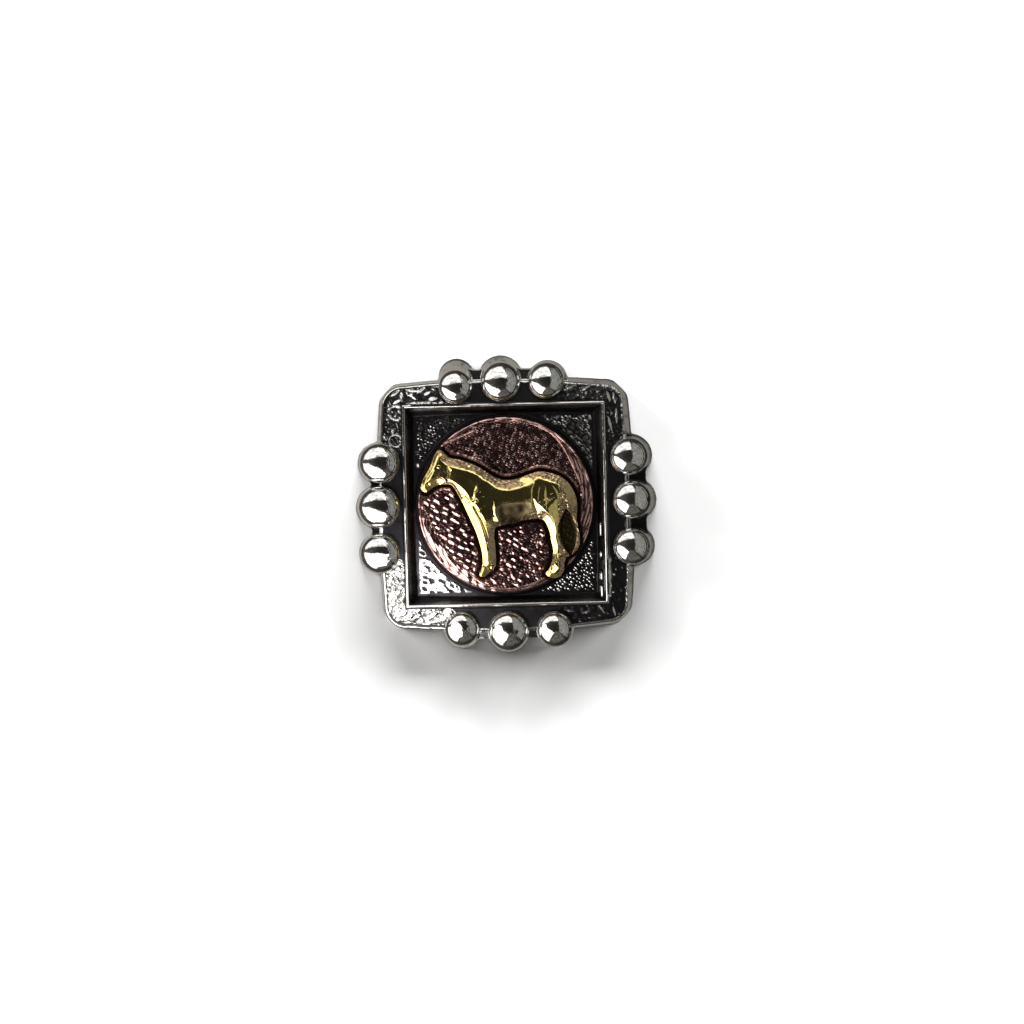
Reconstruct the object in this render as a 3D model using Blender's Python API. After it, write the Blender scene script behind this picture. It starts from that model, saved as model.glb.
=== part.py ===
"""A square concho: a cast frame with twelve beads, a copper disc in its panel and a brass horse on the disc.

It lies on its back. Its origin is the middle of the back plane, +Z is the way the front faces,
+X is the viewer's right and +Y is up the face. All sizes are in metres.
"""
import math

import bmesh
import bpy
import numpy as np
from mathutils import Matrix, Vector
from mathutils.geometry import delaunay_2d_cdt

# What rests on another piece keeps this gap to it
SEAT_GAP = 0.0003

# Copper disc
DISC_DIAMETER = 0.0185
DISC_THICKNESS = 0.0005
DISC_RIM_WIDTH = 0.0011
DISC_RIM_RISE = 0.0002
DISC_SEGMENTS = 52

# Sunk panel that holds the disc, and the sloping wall around it
DISC_SIDE_CLEARANCE = 0.0005
PANEL_HEIGHT = 0.0018
OPENING_WALL_RUN = 0.00075
OPENING_CORNER_RADIUS = 0.0003

# Frame around the panel
FRAME_WIDTH = 0.00265
FRAME_EDGE_HEIGHT = 0.0025
FRAME_LIP_HEIGHT = 0.0029
FRAME_LIP_WIDTH = 0.0003
FRAME_WALL_RUN = 0.0005
FRAME_SHOULDER = 0.00015
FRAME_CORNER_RADIUS = 0.0026
FRAME_SIDE_BOW = 0.00045

# Beads, three to a side
BEAD_PITCH = 0.0048
BEAD_SPRING_HEIGHT = 0.0024
BEAD_DRAFT = 0.00015
MIDDLE_BEAD_DIAMETER = 0.00474
OUTER_BEAD_DIAMETER = 0.00446
MIDDLE_BEAD_OVERHANG = 0.00035
OUTER_BEAD_OVERHANG = 0.00005
WEB_REACH = 0.00095
WEB_HEIGHT = 0.0021
BEAD_SEGMENTS = 20
BEAD_RINGS = 5

# Sunk field with leaves in each corner of the frame
FIELD_MARGIN = 0.00022
FIELD_DEPTH = 0.00028
FIELD_ARM = 0.0062
LEAF_HEIGHT = 0.00036
LEAF_SINK = 0.00007
LEAF_WIDTH = 0.00062
LEAF_LENGTH = 0.0014
LEAF_FAN_ANGLE = 52
SIDE_LEAF_HEADING = 152
SIDE_LEAF_START = 0.0019
SIDE_LEAF_PITCH = 0.0016
SIDE_LEAF_OFFSET = 0.0003
BERRY_DIAMETER = 0.00062

# Hollow back with a boss for the screw
BACK_RIM_WIDTH = 0.0016
BACK_RECESS_DEPTH = 0.0008
BACK_WALL_RUN = 0.0004
BOSS_DIAMETER = 0.0080
SCREW_HOLE_DIAMETER = 0.0036
SCREW_HOLE_DEPTH = 0.0013
BOSS_SEGMENTS = 32
SCREW_HOLE_SEGMENTS = 24

# Brass horse
HORSE_LENGTH = 0.0167
HORSE_EDGE_THICKNESS = 0.0003
HORSE_FACE_RISE = 0.0005
HORSE_CREST_RISE = 0.0005
HORSE_BEVEL = 0.0003
HORSE_BACK_BEVEL = 0.0008
HORSE_RIM_STEP_RUN = 0.00044
HORSE_MESH_STEP = 0.00044
HORSE_OUTLINE_PARTS = 2
HORSE_MASS_SHARPNESS = 6
HORSE_MUZZLE_OFFSET = -0.00893
HORSE_HOOF_OFFSET = -0.00783

# The horse's outline in hundredths of its length, from the muzzle over the back to the hooves
HORSE_OUTLINE = (
    (0, 59), (1, 62.5), (3, 66.5), (5.5, 70.5), (7.5, 75), (9.5, 79.5), (12.5, 82.5), (15, 81),
    (18.5, 77.5), (25, 76), (32, 73.5), (38, 70.5), (43, 67), (48, 64), (53.5, 62.5), (60, 63),
    (68, 65.5), (75, 67.5), (82, 66.5), (88.5, 64), (94, 59.5), (97.5, 53), (99, 46), (98.5, 36),
    (100, 26), (99.5, 19.5), (96.5, 15.5), (92, 13), (90, 9), (89.5, 4), (86, 0), (81.5, 0),
    (78, 2.5), (80.5, 6), (82.5, 12), (83, 18), (81.5, 24), (79, 30.5), (74, 37.5), (66, 37),
    (58.5, 35), (48, 33), (46, 28), (46.5, 20), (46.5, 9), (43, 4.5), (38.5, 1.5), (36, 3),
    (38, 9), (38, 16), (36.5, 23), (34, 31), (31, 38), (27.5, 46), (25, 51.5), (22, 57),
    (19, 60.5), (12, 60.5), (7.5, 58.5), (4, 56), (1.5, 56.5),
)

# The horse's masses in the same hundredths: two ends with their half widths, and the height as a
# share of the crest
HORSE_MASSES = (
    ((12, 75, 7.5), (4, 60, 4.5), 0.55),
    ((14, 68, 8), (12, 66, 7), 0.68),
    ((18, 71, 8), (34, 57, 14), 0.62),
    ((35, 48, 12), (36, 55, 12), 0.92),
    ((42, 49, 15), (70, 52, 14), 0.95),
    ((82, 52, 15), (84, 50, 14), 1.0),
    ((80, 48, 11), (84, 30, 5.5), 0.85),
    ((84, 30, 5), (86, 6, 4.2), 0.6),
    ((85, 4, 5), (81, 3, 4), 0.72),
    ((32, 44, 9), (41, 24, 5.5), 0.75),
    ((41, 24, 5), (42, 8, 4.4), 0.6),
    ((41, 6, 4.6), (39, 4, 4), 0.68),
    ((93, 56, 5), (97.5, 36, 2.6), 0.5),
    ((97.5, 36, 2.6), (96, 17, 3.6), 0.42),
)

# The hollow between the hind leg and the tail: two ends with their half widths
HORSE_HOLLOW = ((92.3, 38, 2.5), (92.5, 23, 3.6))

# Sizes that follow from those above
DISC_RADIUS = DISC_DIAMETER / 2
PANEL_HALF = DISC_RADIUS + DISC_SIDE_CLEARANCE
OPENING_HALF = PANEL_HALF + OPENING_WALL_RUN
FRAME_HALF = OPENING_HALF + FRAME_WIDTH
DISC_BACK = PANEL_HEIGHT + SEAT_GAP
DISC_GROUND = DISC_BACK + DISC_THICKNESS

# How finely the frame's outline and the disc's rim are cut
SIDE_STEPS = 8
CORNER_STEPS = 6
DISC_RIM_STEPS = 6

# Adjoining faces that meet more sharply than this many degrees keep a crisp edge
CRISP_ANGLE = 35


def clear_scene():
    """Remove whatever the file holds."""
    for old in list(bpy.data.objects):
        bpy.data.objects.remove(old, do_unlink=True)


def metal(name, colour, roughness):
    """A plain metal material."""
    material = bpy.data.materials.new(name)
    material.use_nodes = True
    shader = material.node_tree.nodes["Principled BSDF"]
    shader.inputs["Base Color"].default_value = (*colour, 1.0)
    shader.inputs["Metallic"].default_value = 1.0
    shader.inputs["Roughness"].default_value = roughness
    return material


def object_from(name, shape, material=None):
    """Turn a bmesh into an object with smooth shading and crisp edges."""
    bmesh.ops.remove_doubles(shape, verts=shape.verts, dist=1e-7)
    bmesh.ops.recalc_face_normals(shape, faces=shape.faces)
    mesh = bpy.data.meshes.new(name)
    shape.to_mesh(mesh)
    shape.free()
    mesh.shade_smooth()
    mesh.set_sharp_from_angle(angle=math.radians(CRISP_ANGLE))
    piece = bpy.data.objects.new(name, mesh)
    bpy.context.scene.collection.objects.link(piece)
    if material is not None:
        mesh.materials.append(material)
    return piece


def apply_boolean(body, tools, operation):
    """Join or cut the body with several tools, one after another, and remove the tools."""
    for tool in tools:
        modifier = body.modifiers.new(tool.name, "BOOLEAN")
        modifier.operation = operation
        modifier.solver = "EXACT"
        modifier.object = tool
    depsgraph = bpy.context.evaluated_depsgraph_get()
    result = bpy.data.meshes.new_from_object(body.evaluated_get(depsgraph), depsgraph=depsgraph)
    old = body.data
    body.modifiers.clear()
    body.data = result
    bpy.data.meshes.remove(old)
    for tool in tools:
        bpy.data.objects.remove(tool, do_unlink=True)


def rounded_square(half, bow, radius):
    """A square outline with round corners, whose sides bow outwards by a little."""
    points = []
    reach = half - radius
    for quarter in range(4):
        turn = Matrix.Rotation(quarter * math.pi / 2, 2)
        for step in range(SIDE_STEPS):
            along = 2 * step / SIDE_STEPS - 1
            points.append(turn @ Vector((half + bow * (1 - along * along), along * reach)))
        for step in range(CORNER_STEPS):
            angle = step / CORNER_STEPS * math.pi / 2
            points.append(turn @ Vector((reach + radius * math.cos(angle), reach + radius * math.sin(angle))))
    return points


def loft(levels):
    """Bridge a row of outlines that have as many points as each other, and close both ends."""
    shape = bmesh.new()
    rings = []
    for outline, height in levels:
        rings.append([shape.verts.new((point.x, point.y, height)) for point in outline])
    count = len(rings[0])
    for lower, upper in zip(rings, rings[1:]):
        for index in range(count):
            after = (index + 1) % count
            shape.faces.new((lower[index], lower[after], upper[after], upper[index]))
    shape.faces.new(rings[0])
    shape.faces.new(rings[-1])
    return shape


def turned(profile, segments, centre=(0, 0)):
    """Turn a profile of (radius, height) pairs about an upright axis, closed at both ends."""
    shape = bmesh.new()
    rings = []
    for radius, height in profile:
        if radius == 0:
            rings.append([shape.verts.new((*centre, height))])
            continue
        ring = []
        for index in range(segments):
            angle = 2 * math.pi * index / segments
            place = (centre[0] + radius * math.cos(angle), centre[1] + radius * math.sin(angle), height)
            ring.append(shape.verts.new(place))
        rings.append(ring)
    for lower, upper in zip(rings, rings[1:]):
        for index in range(segments):
            after = (index + 1) % segments
            corners = [lower[index % len(lower)], lower[after % len(lower)]]
            corners += [upper[after % len(upper)], upper[index % len(upper)]]
            shape.faces.new(list(dict.fromkeys(corners)))
    for end in (rings[0], rings[-1]):
        if len(end) > 1:
            shape.faces.new(end)
    return shape


def box(low, high):
    """A box between two corners."""
    shape = bmesh.new()
    bmesh.ops.create_cube(shape, size=1)
    size = Vector(high) - Vector(low)
    place = Matrix.Translation((Vector(high) + Vector(low)) / 2)
    bmesh.ops.transform(shape, matrix=place @ Matrix.Diagonal((*size, 1)), verts=shape.verts)
    return shape


def turn_quarter(shape, quarter):
    """Turn a shape by quarter turns about the middle of the concho."""
    bmesh.ops.rotate(shape, matrix=Matrix.Rotation(quarter * math.pi / 2, 3, "Z"), verts=shape.verts)
    return shape


def frame_body():
    """The frame and its sunk panel, lofted from the back plane round to the panel."""
    top_half = FRAME_HALF - FRAME_WALL_RUN
    crest_half = top_half - FRAME_SHOULDER
    lip_half = OPENING_HALF + FRAME_LIP_WIDTH
    corner = FRAME_CORNER_RADIUS
    top_corner = corner - FRAME_WALL_RUN
    opening_corner = OPENING_CORNER_RADIUS
    levels = [
        (rounded_square(FRAME_HALF, FRAME_SIDE_BOW, corner), 0),
        (rounded_square(top_half, FRAME_SIDE_BOW, top_corner), FRAME_EDGE_HEIGHT),
        (rounded_square(crest_half, FRAME_SIDE_BOW, top_corner), FRAME_EDGE_HEIGHT + FRAME_SHOULDER),
        (rounded_square(lip_half, 0, opening_corner + FRAME_LIP_WIDTH), FRAME_LIP_HEIGHT),
        (rounded_square(OPENING_HALF, 0, opening_corner), FRAME_LIP_HEIGHT),
        (rounded_square(PANEL_HALF, 0, opening_corner), PANEL_HEIGHT),
    ]
    return loft(levels)


def back_recess():
    """The cutter for the hollow back, whose walls slope in."""
    rim_half = FRAME_HALF - BACK_RIM_WIDTH
    rim_corner = FRAME_CORNER_RADIUS - BACK_RIM_WIDTH
    levels = []
    for share in (-1, 1):
        outline = rounded_square(rim_half - BACK_WALL_RUN * share, 0, rim_corner)
        levels.append((outline, BACK_RECESS_DEPTH * share))
    return loft(levels)


def bead(diameter, along, out):
    """A round-topped bead on a slightly drafted stem that goes down to the back plane."""
    base_radius = diameter / 2
    dome_radius = base_radius - BEAD_DRAFT
    profile = [(base_radius, 0), (dome_radius, BEAD_SPRING_HEIGHT)]
    for ring in range(1, BEAD_RINGS):
        angle = ring / BEAD_RINGS * math.pi / 2
        profile.append((dome_radius * math.cos(angle), BEAD_SPRING_HEIGHT + dome_radius * math.sin(angle)))
    profile.append((0, BEAD_SPRING_HEIGHT + dome_radius))
    return turned(profile, BEAD_SEGMENTS, (along, out))


def side_shapes():
    """The three beads of the upper side and the low web that ties them to the frame."""
    outer_out = FRAME_HALF + OUTER_BEAD_OVERHANG
    middle_out = FRAME_HALF + MIDDLE_BEAD_OVERHANG
    web_low = (-BEAD_PITCH, FRAME_HALF - FRAME_WALL_RUN, 0)
    web_high = (BEAD_PITCH, FRAME_HALF + WEB_REACH, WEB_HEIGHT)
    yield "outer", bead(OUTER_BEAD_DIAMETER, -BEAD_PITCH, outer_out)
    yield "middle", bead(MIDDLE_BEAD_DIAMETER, 0, middle_out)
    yield "outer", bead(OUTER_BEAD_DIAMETER, BEAD_PITCH, outer_out)
    yield "web", box(web_low, web_high)


def corner_field():
    """The cutter for the sunk field of one corner: an L that follows the frame's round corner."""
    outer = FRAME_HALF - FRAME_WALL_RUN - FRAME_SHOULDER - FIELD_MARGIN
    inner = OPENING_HALF + FRAME_LIP_WIDTH + FIELD_MARGIN
    radius = FRAME_CORNER_RADIUS - FRAME_WALL_RUN
    middle = (outer + inner) / 2
    half_width = (outer - inner) / 2
    outline = []
    for step in range(CORNER_STEPS + 1):
        angle = step / CORNER_STEPS * math.pi / 2
        outline.append((outer - radius + radius * math.cos(angle), outer - radius + radius * math.sin(angle)))
    for step in range(CORNER_STEPS + 1):
        angle = math.pi / 2 + step / CORNER_STEPS * math.pi
        outline.append((FIELD_ARM + half_width * math.cos(angle), middle + half_width * math.sin(angle)))
    outline.append((inner, inner))
    for step in range(CORNER_STEPS + 1):
        angle = math.pi + step / CORNER_STEPS * math.pi
        outline.append((middle + half_width * math.cos(angle), FIELD_ARM + half_width * math.sin(angle)))
    shape = bmesh.new()
    floor = FRAME_EDGE_HEIGHT + FRAME_SHOULDER - FIELD_DEPTH
    face = shape.faces.new([shape.verts.new((x, y, floor)) for x, y in outline])
    swept = bmesh.ops.extrude_face_region(shape, geom=[face])
    raised = [item for item in swept["geom"] if isinstance(item, bmesh.types.BMVert)]
    bmesh.ops.translate(shape, vec=(0, 0, FRAME_LIP_HEIGHT), verts=raised)
    return shape


def leaf(x, y, heading, length, width):
    """One lobe of a leaf, or a berry: an ellipsoid half sunk into the field."""
    shape = bmesh.new()
    bmesh.ops.create_uvsphere(shape, u_segments=8, v_segments=6, radius=1)
    floor = FRAME_EDGE_HEIGHT + FRAME_SHOULDER - FIELD_DEPTH
    place = Matrix.Translation((x, y, floor - LEAF_SINK)) @ Matrix.Rotation(heading, 4, "Z")
    size = Matrix.Diagonal((length / 2, width / 2, LEAF_HEIGHT, 1))
    bmesh.ops.transform(shape, matrix=place @ size, verts=shape.verts)
    return shape


def corner_leaves():
    """A leaf that fans out of the corner, and along each arm two side leaves with a berry at each."""
    inner = OPENING_HALF + FRAME_LIP_WIDTH + FIELD_MARGIN
    outer = FRAME_HALF - FRAME_WALL_RUN - FRAME_SHOULDER - FIELD_MARGIN
    diagonal = math.pi / 4
    reach = LEAF_LENGTH / 2
    for fan in (-1, 0, 1):
        heading = diagonal + fan * math.radians(LEAF_FAN_ANGLE)
        yield leaf(inner + reach * math.cos(heading), inner + reach * math.sin(heading), heading,
                   LEAF_LENGTH, LEAF_WIDTH)
    side = (inner + outer) / 2 + SIDE_LEAF_OFFSET
    berry = inner + BERRY_DIAMETER / 2
    heading = math.radians(SIDE_LEAF_HEADING)
    for arm in (0, 1):
        for order in (0, 1):
            along = outer - SIDE_LEAF_START - SIDE_LEAF_PITCH * order
            places = ((along, side, heading, LEAF_LENGTH, LEAF_WIDTH),
                      (along - reach, berry, 0, BERRY_DIAMETER, BERRY_DIAMETER))
            for x, y, turn, length, width in places:
                if arm:
                    x, y, turn = y, x, math.pi / 2 - turn
                yield leaf(x, y, turn, length, width)


def make_frame():
    """The cast frame with its beads, its leaves and its hollow back, all one piece of metal."""
    frame = object_from("cast_frame", frame_body(), metal("silver tone", (0.46, 0.44, 0.42), 0.22))
    fields = []
    beads = []
    for quarter in range(4):
        fields.append(object_from("field", turn_quarter(corner_field(), quarter)))
        for name, shape in side_shapes():
            beads.append(object_from(name, turn_quarter(shape, quarter)))
    apply_boolean(frame, fields, "DIFFERENCE")
    apply_boolean(frame, beads, "UNION")
    apply_boolean(frame, [object_from("back recess", back_recess())], "DIFFERENCE")
    boss_radius = BOSS_DIAMETER / 2
    boss = turned([(boss_radius, 0), (boss_radius, (BACK_RECESS_DEPTH + PANEL_HEIGHT) / 2)], BOSS_SEGMENTS)
    apply_boolean(frame, [object_from("boss", boss)], "UNION")
    hole_radius = SCREW_HOLE_DIAMETER / 2
    hole = turned([(hole_radius, -SCREW_HOLE_DEPTH), (hole_radius, SCREW_HOLE_DEPTH)], SCREW_HOLE_SEGMENTS)
    apply_boolean(frame, [object_from("screw hole", hole)], "DIFFERENCE")
    leaves = []
    for quarter in range(4):
        for shape in corner_leaves():
            leaves.append(object_from("leaf", turn_quarter(shape, quarter)))
    apply_boolean(frame, leaves, "UNION")
    frame.data.set_sharp_from_angle(angle=math.radians(CRISP_ANGLE))
    return frame


def disc_profile():
    """The disc's upper side as (radius, height) pairs, from its edge in to its ground."""
    half_width = DISC_RIM_WIDTH / 2
    rim_middle = DISC_RADIUS - half_width
    profile = [(DISC_RADIUS, DISC_GROUND)]
    for step in range(1, DISC_RIM_STEPS):
        angle = step / DISC_RIM_STEPS * math.pi
        radius = rim_middle + half_width * math.cos(angle)
        profile.append((radius, DISC_GROUND + DISC_RIM_RISE * math.sin(angle)))
    profile.append((DISC_RADIUS - DISC_RIM_WIDTH, DISC_GROUND))
    return profile


def make_disc():
    """The copper disc with its round raised rim."""
    profile = [(0, DISC_BACK), (DISC_RADIUS, DISC_BACK)] + disc_profile() + [(0, DISC_GROUND)]
    copper = metal("copper", (0.42, 0.20, 0.15), 0.3)
    return object_from("copper_disc", turned(profile, DISC_SEGMENTS), copper)


def horse_point(x, y):
    """Turn hundredths of the horse's length into a place on the concho."""
    return Vector((HORSE_MUZZLE_OFFSET + x / 100 * HORSE_LENGTH, HORSE_HOOF_OFFSET + y / 100 * HORSE_LENGTH))


def smooth_outline(points, parts):
    """A closed Catmull-Rom curve through the points, each stretch cut into parts."""
    curve = []
    count = len(points)
    for index in range(count):
        before, start, end, after = (points[(index + shift) % count] for shift in (-1, 0, 1, 2))
        for part in range(parts):
            t = part / parts
            slope = (end - before) / 2
            bend = before - 2.5 * start + 2 * end - after / 2
            twist = (3 * (start - end) - before + after) / 2
            curve.append(start + slope * t + bend * t ** 2 + twist * t ** 3)
    return curve


def along_and_away(start, end, x, y):
    """How far along the line from start to end each place is, as a share, and how far away from it."""
    run = end - start
    along = np.clip(((x - start.x) * run.x + (y - start.y) * run.y) / run.length_squared, 0, 1)
    return along, np.hypot(x - start.x - along * run.x, y - start.y - along * run.y)


def share_of_width(first, second, x, y):
    """How far each place is from a mass's middle line, as a share of its half width there."""
    (x1, y1, width1), (x2, y2, width2) = first, second
    along, away = along_and_away(horse_point(x1, y1), horse_point(x2, y2), x, y)
    return away / ((width1 + (width2 - width1) * along) / 100 * HORSE_LENGTH)


def bevel_width(start, end):
    """The width of the bevel behind a stretch of outline, which is widest where it faces up the concho."""
    upward = max(0, (end.x - start.x) / (end - start).length)
    return HORSE_BEVEL + (HORSE_BACK_BEVEL - HORSE_BEVEL) * upward


def bevel_share(outline, x, y):
    """How far each place is in from the outline, as a share of the width of the bevel there."""
    share = np.full(x.shape, np.inf)
    for start, end in zip(outline, outline[1:] + outline[:1]):
        share = np.minimum(share, along_and_away(start, end, x, y)[1] / bevel_width(start, end))
    return share


def bevel_line(outline):
    """The points where the bevel ends, one behind each point of the outline that has room for one."""
    line = []
    for index, point in enumerate(outline):
        before = outline[index - 1]
        after = outline[(index + 1) % len(outline)]
        inward = Vector((after.y - before.y, before.x - after.x)).normalized()
        line.append(point + inward * bevel_width(before, after))
    share = bevel_share(outline, np.array([p.x for p in line]), np.array([p.y for p in line]))
    return [point for point, part in zip(line, share) if part > 0.9]


def mass_height(x, y):
    """The height of the horse's masses at each place, as a share of the crest."""
    total = np.zeros(x.shape)
    for first, second, height in HORSE_MASSES:
        share = share_of_width(first, second, x, y)
        total += (height * np.sqrt(np.clip(1 - share ** 2, 0, 1))) ** HORSE_MASS_SHARPNESS
    return total ** (1 / HORSE_MASS_SHARPNESS)


def horse_seat(x, y):
    """The height of the horse's underside, which follows the disc's ground and steps over its rim."""
    out = np.hypot(x, y)
    step_start = DISC_RADIUS - DISC_RIM_WIDTH - HORSE_RIM_STEP_RUN
    over_rim = np.clip((out - step_start) / HORSE_RIM_STEP_RUN, 0, 1)
    return DISC_GROUND + SEAT_GAP + DISC_RIM_RISE * over_rim


def make_horse():
    """The brass horse, a relief with rounded masses and a bevel all round that is widest along its back."""
    outline = smooth_outline([horse_point(x, y) for x, y in HORSE_OUTLINE], HORSE_OUTLINE_PARTS)
    low = Vector((min(p.x for p in outline), min(p.y for p in outline)))
    high = Vector((max(p.x for p in outline), max(p.y for p in outline)))
    columns = np.arange(low.x, high.x, HORSE_MESH_STEP)
    rows = np.arange(low.y, high.y, HORSE_MESH_STEP)
    grid_x, grid_y = np.meshgrid(columns, rows)
    face = bevel_share(outline, grid_x, grid_y) > 1 + HORSE_MESH_STEP / HORSE_BACK_BEVEL
    inner = bevel_line(outline)
    inner += [Vector(place) for place in zip(grid_x[face].tolist(), grid_y[face].tolist())]
    edge = list(range(len(outline)))
    flat, _, faces, _, _, _ = delaunay_2d_cdt(outline + inner, [], [edge], 1, 1e-8)
    used = sorted({index for face in faces for index in face})
    x = np.array([flat[index].x for index in used])
    y = np.array([flat[index].y for index in used])
    rise = np.sin(np.clip(bevel_share(outline, x, y), 0, 1) * math.pi / 2)
    rise *= np.clip(share_of_width(*HORSE_HOLLOW, x, y) - 0.5, 0, 1)
    bottom = horse_seat(x, y)
    top = bottom + HORSE_EDGE_THICKNESS + (HORSE_FACE_RISE + HORSE_CREST_RISE * mass_height(x, y)) * rise
    shape = bmesh.new()
    upper = {}
    lower = {}
    for place, index in enumerate(used):
        upper[index] = shape.verts.new((x[place], y[place], top[place]))
        lower[index] = shape.verts.new((x[place], y[place], bottom[place]))
    for face in faces:
        shape.faces.new([upper[index] for index in face])
        shape.faces.new([lower[index] for index in reversed(face)])
    rim = [item for item in shape.edges if item.is_boundary]
    lower_of = {upper[index]: lower[index] for index in used}
    for item in rim:
        start, end = item.verts
        if start in lower_of:
            shape.faces.new((start, end, lower_of[end], lower_of[start]))
    return object_from("horse", shape, metal("brass", (0.55, 0.44, 0.16), 0.25))


clear_scene()
make_frame()
make_disc()
make_horse()
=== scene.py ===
import math
from functools import reduce
from itertools import product

import bpy
import numpy as np
from mathutils import Matrix, Vector
from mathutils.geometry import delaunay_2d_cdt


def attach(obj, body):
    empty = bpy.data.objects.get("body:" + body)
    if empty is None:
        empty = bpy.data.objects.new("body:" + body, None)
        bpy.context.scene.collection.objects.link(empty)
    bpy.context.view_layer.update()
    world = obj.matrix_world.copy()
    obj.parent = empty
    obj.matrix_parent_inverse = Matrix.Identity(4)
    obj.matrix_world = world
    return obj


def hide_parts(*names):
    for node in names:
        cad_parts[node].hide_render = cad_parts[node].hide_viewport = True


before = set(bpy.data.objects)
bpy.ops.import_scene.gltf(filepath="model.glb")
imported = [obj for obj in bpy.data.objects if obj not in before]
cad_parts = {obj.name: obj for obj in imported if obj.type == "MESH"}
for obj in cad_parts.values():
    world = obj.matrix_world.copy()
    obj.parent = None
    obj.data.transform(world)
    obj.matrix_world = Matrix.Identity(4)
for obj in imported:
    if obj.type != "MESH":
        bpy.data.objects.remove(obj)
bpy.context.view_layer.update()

# Shapes are worked out in millimetres and scaled to metres when a mesh is made
MM = 0.001

# How many random bumps, chips or levels lie along each side of a field before it repeats
FIELD_SIZE = 256

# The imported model's own sizes, from which the fine pieces take theirs
PANEL_HEIGHT = 1.8
DISC_RADIUS = 9.25
OPENING_HALF = 10.5
OPENING_WALL_RUN = 0.75
FRAME_HALF = 13.15
FRAME_EXTRA = 0.2
FRAME_CORNER_RADIUS = 2.6
FRAME_SIDE_BOW = 0.45
FRAME_WALL_RUN = 0.5
FRAME_SHOULDER = 0.15
FRAME_EDGE_HEIGHT = 2.5
FRAME_LIP_HEIGHT = 2.9
FRAME_LIP_WIDTH = 0.3
LIP_RIDGE = 0.12
BEAD_PITCH = 4.8
BEAD_SPRING_HEIGHT = 2.4
BEAD_DRAFT = 0.15
WEB_REACHES = (1.3, 1.2, 1.2, 1.9)
WEB_HEIGHT = 2.1
FIELD_MARGIN = 0.22
FIELD_DEPTH = 0.28
FIELD_ARM = 6.2
BACK_RIM_WIDTH = 1.6
BACK_RECESS_DEPTH = 0.8
BACK_WALL_RUN = 0.4
BOSS_RADIUS = 4.0
SCREW_HOLE_RADIUS = 1.8
SCREW_HOLE_DEPTH = 1.3

# The worn leaves of the corners: each petal's root, tip, width and the side it slopes down to
CORNER_PETALS = (
    (-10.39, 12.45, -8.7, 12.2, 0.4, 1), (-10.34, 12.18, -9.14, 11.25, 0.32, -1),
    (-11.9, 11.74, -10.76, 12.67, 0.4, 1), (-10.6, 12.72, -9.64, 12.96, 0.25, 1),
    (-9.13, 12.05, -8.05, 12.77, 0.3, 1), (-8.39, 11.82, -7.64, 12.18, 0.3, 1),
    (-7.92, 11.33, -6.91, 11.47, 0.42, 1), (-7.57, 12.76, -6.66, 12.95, 0.47, 1),
    (-11.7, 10.94, -10.73, 11.45, 0.3, 1), (-10.82, 12.19, -10.69, 11.13, 0.32, -1),
    (-12.49, 8.73, -12.05, 9.57, 0.28, -1), (-13.26, 7.79, -12.43, 7.03, 0.38, -1),
    (-12.23, 10.95, -12.16, 9.46, 0.28, -1), (6.48, 11.91, 7.88, 12.62, 0.28, -1),
    (8.18, 11.87, 9.58, 12.58, 0.25, -1), (11.0, 11.81, 11.44, 10.41, 0.3, 1),
    (11.68, 11.68, 11.87, 10.41, 0.28, 1), (11.09, 9.15, 11.53, 7.33, 0.28, 1),
    (11.96, 9.98, 11.98, 8.17, 0.25, 1), (10.26, 10.02, 10.99, 9.04, 0.19, 1),
    (9.34, -10.5, 10.37, -11.9, 0.19, 1), (11.17, -11.14, 11.46, -12.21, 0.21, 1),
    (6.17, -11.35, 7.01, -11.52, 0.21, -1), (7.86, -11.7, 8.82, -11.46, 0.19, -1),
)

# Berries in the corners, (x, y, radius, height), and rings, (x, y, radius, thickness)
CORNER_BERRIES = (
    (-11.79, 8.05, 0.3, 1.0), (-11.08, 10.13, 0.2, 1.0), (-11.47, 9.61, 0.17, 0.9),
    (-12.0, -10.34, 0.32, 1.0), (-11.23, -10.42, 0.32, 1.0), (-10.38, -10.23, 0.32, 1.0),
    (11.25, -9.55, 0.14, 0.8), (11.38, -7.69, 0.14, 0.8), (7.63, -12.6, 0.14, 0.8),
    (8.81, 11.64, 0.16, 0.9),
)
CORNER_RINGS = ((-11.35, 9.98, 0.74, 0.13), (-11.52, 7.01, 0.64, 0.11))

# Each bead is a flattened ball on a stem that widens downwards: the height of its top at a usual radius,
# the ball's width as a share of the dome's, its rise as a share of its width, and the steepness just
# under the dome
BEAD_TOP = 4.6
BEAD_RADIUS = 2.1
BEAD_BALL = 1.19
BEAD_FLATNESS = 0.8
BEAD_UNDERCUT = 12.0

# Heights far below everything, for places with no bead and no wall
NO_BEAD = -9.0
NO_WALL = -99.0

# The cast beads are not quite alike: the side of the frame, and the (along, out, radius) of the foot
# and of the dome
BEADS = (
    (0, (-4.95, 13.75, 1.9), (-5.04, 12.62, 1.73)),
    (0, (-0.25, 13.57, 2.33), (-0.23, 13.05, 2.0)),
    (0, (4.77, 13.22, 2.08), (4.6, 13.08, 1.84)),
    (1, (-4.95, 13.59, 2.23), (-4.9, 13.4, 2.04)),
    (1, (-0.04, 13.69, 2.36), (0.04, 13.42, 2.12)),
    (1, (4.66, 13.53, 2.23), (4.71, 13.26, 2.06)),
    (2, (-5.0, 13.42, 1.95), (-4.95, 13.34, 1.8)),
    (2, (0.02, 13.7, 2.14), (0.0, 13.44, 2.02)),
    (2, (4.93, 13.4, 1.95), (4.92, 13.08, 1.76)),
    (3, (-4.95, 13.56, 2.2), (-4.85, 13.22, 1.92)),
    (3, (-0.22, 13.89, 2.24), (-0.26, 13.46, 1.96)),
    (3, (4.72, 13.74, 2.12), (4.71, 13.32, 1.88)),
)

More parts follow.
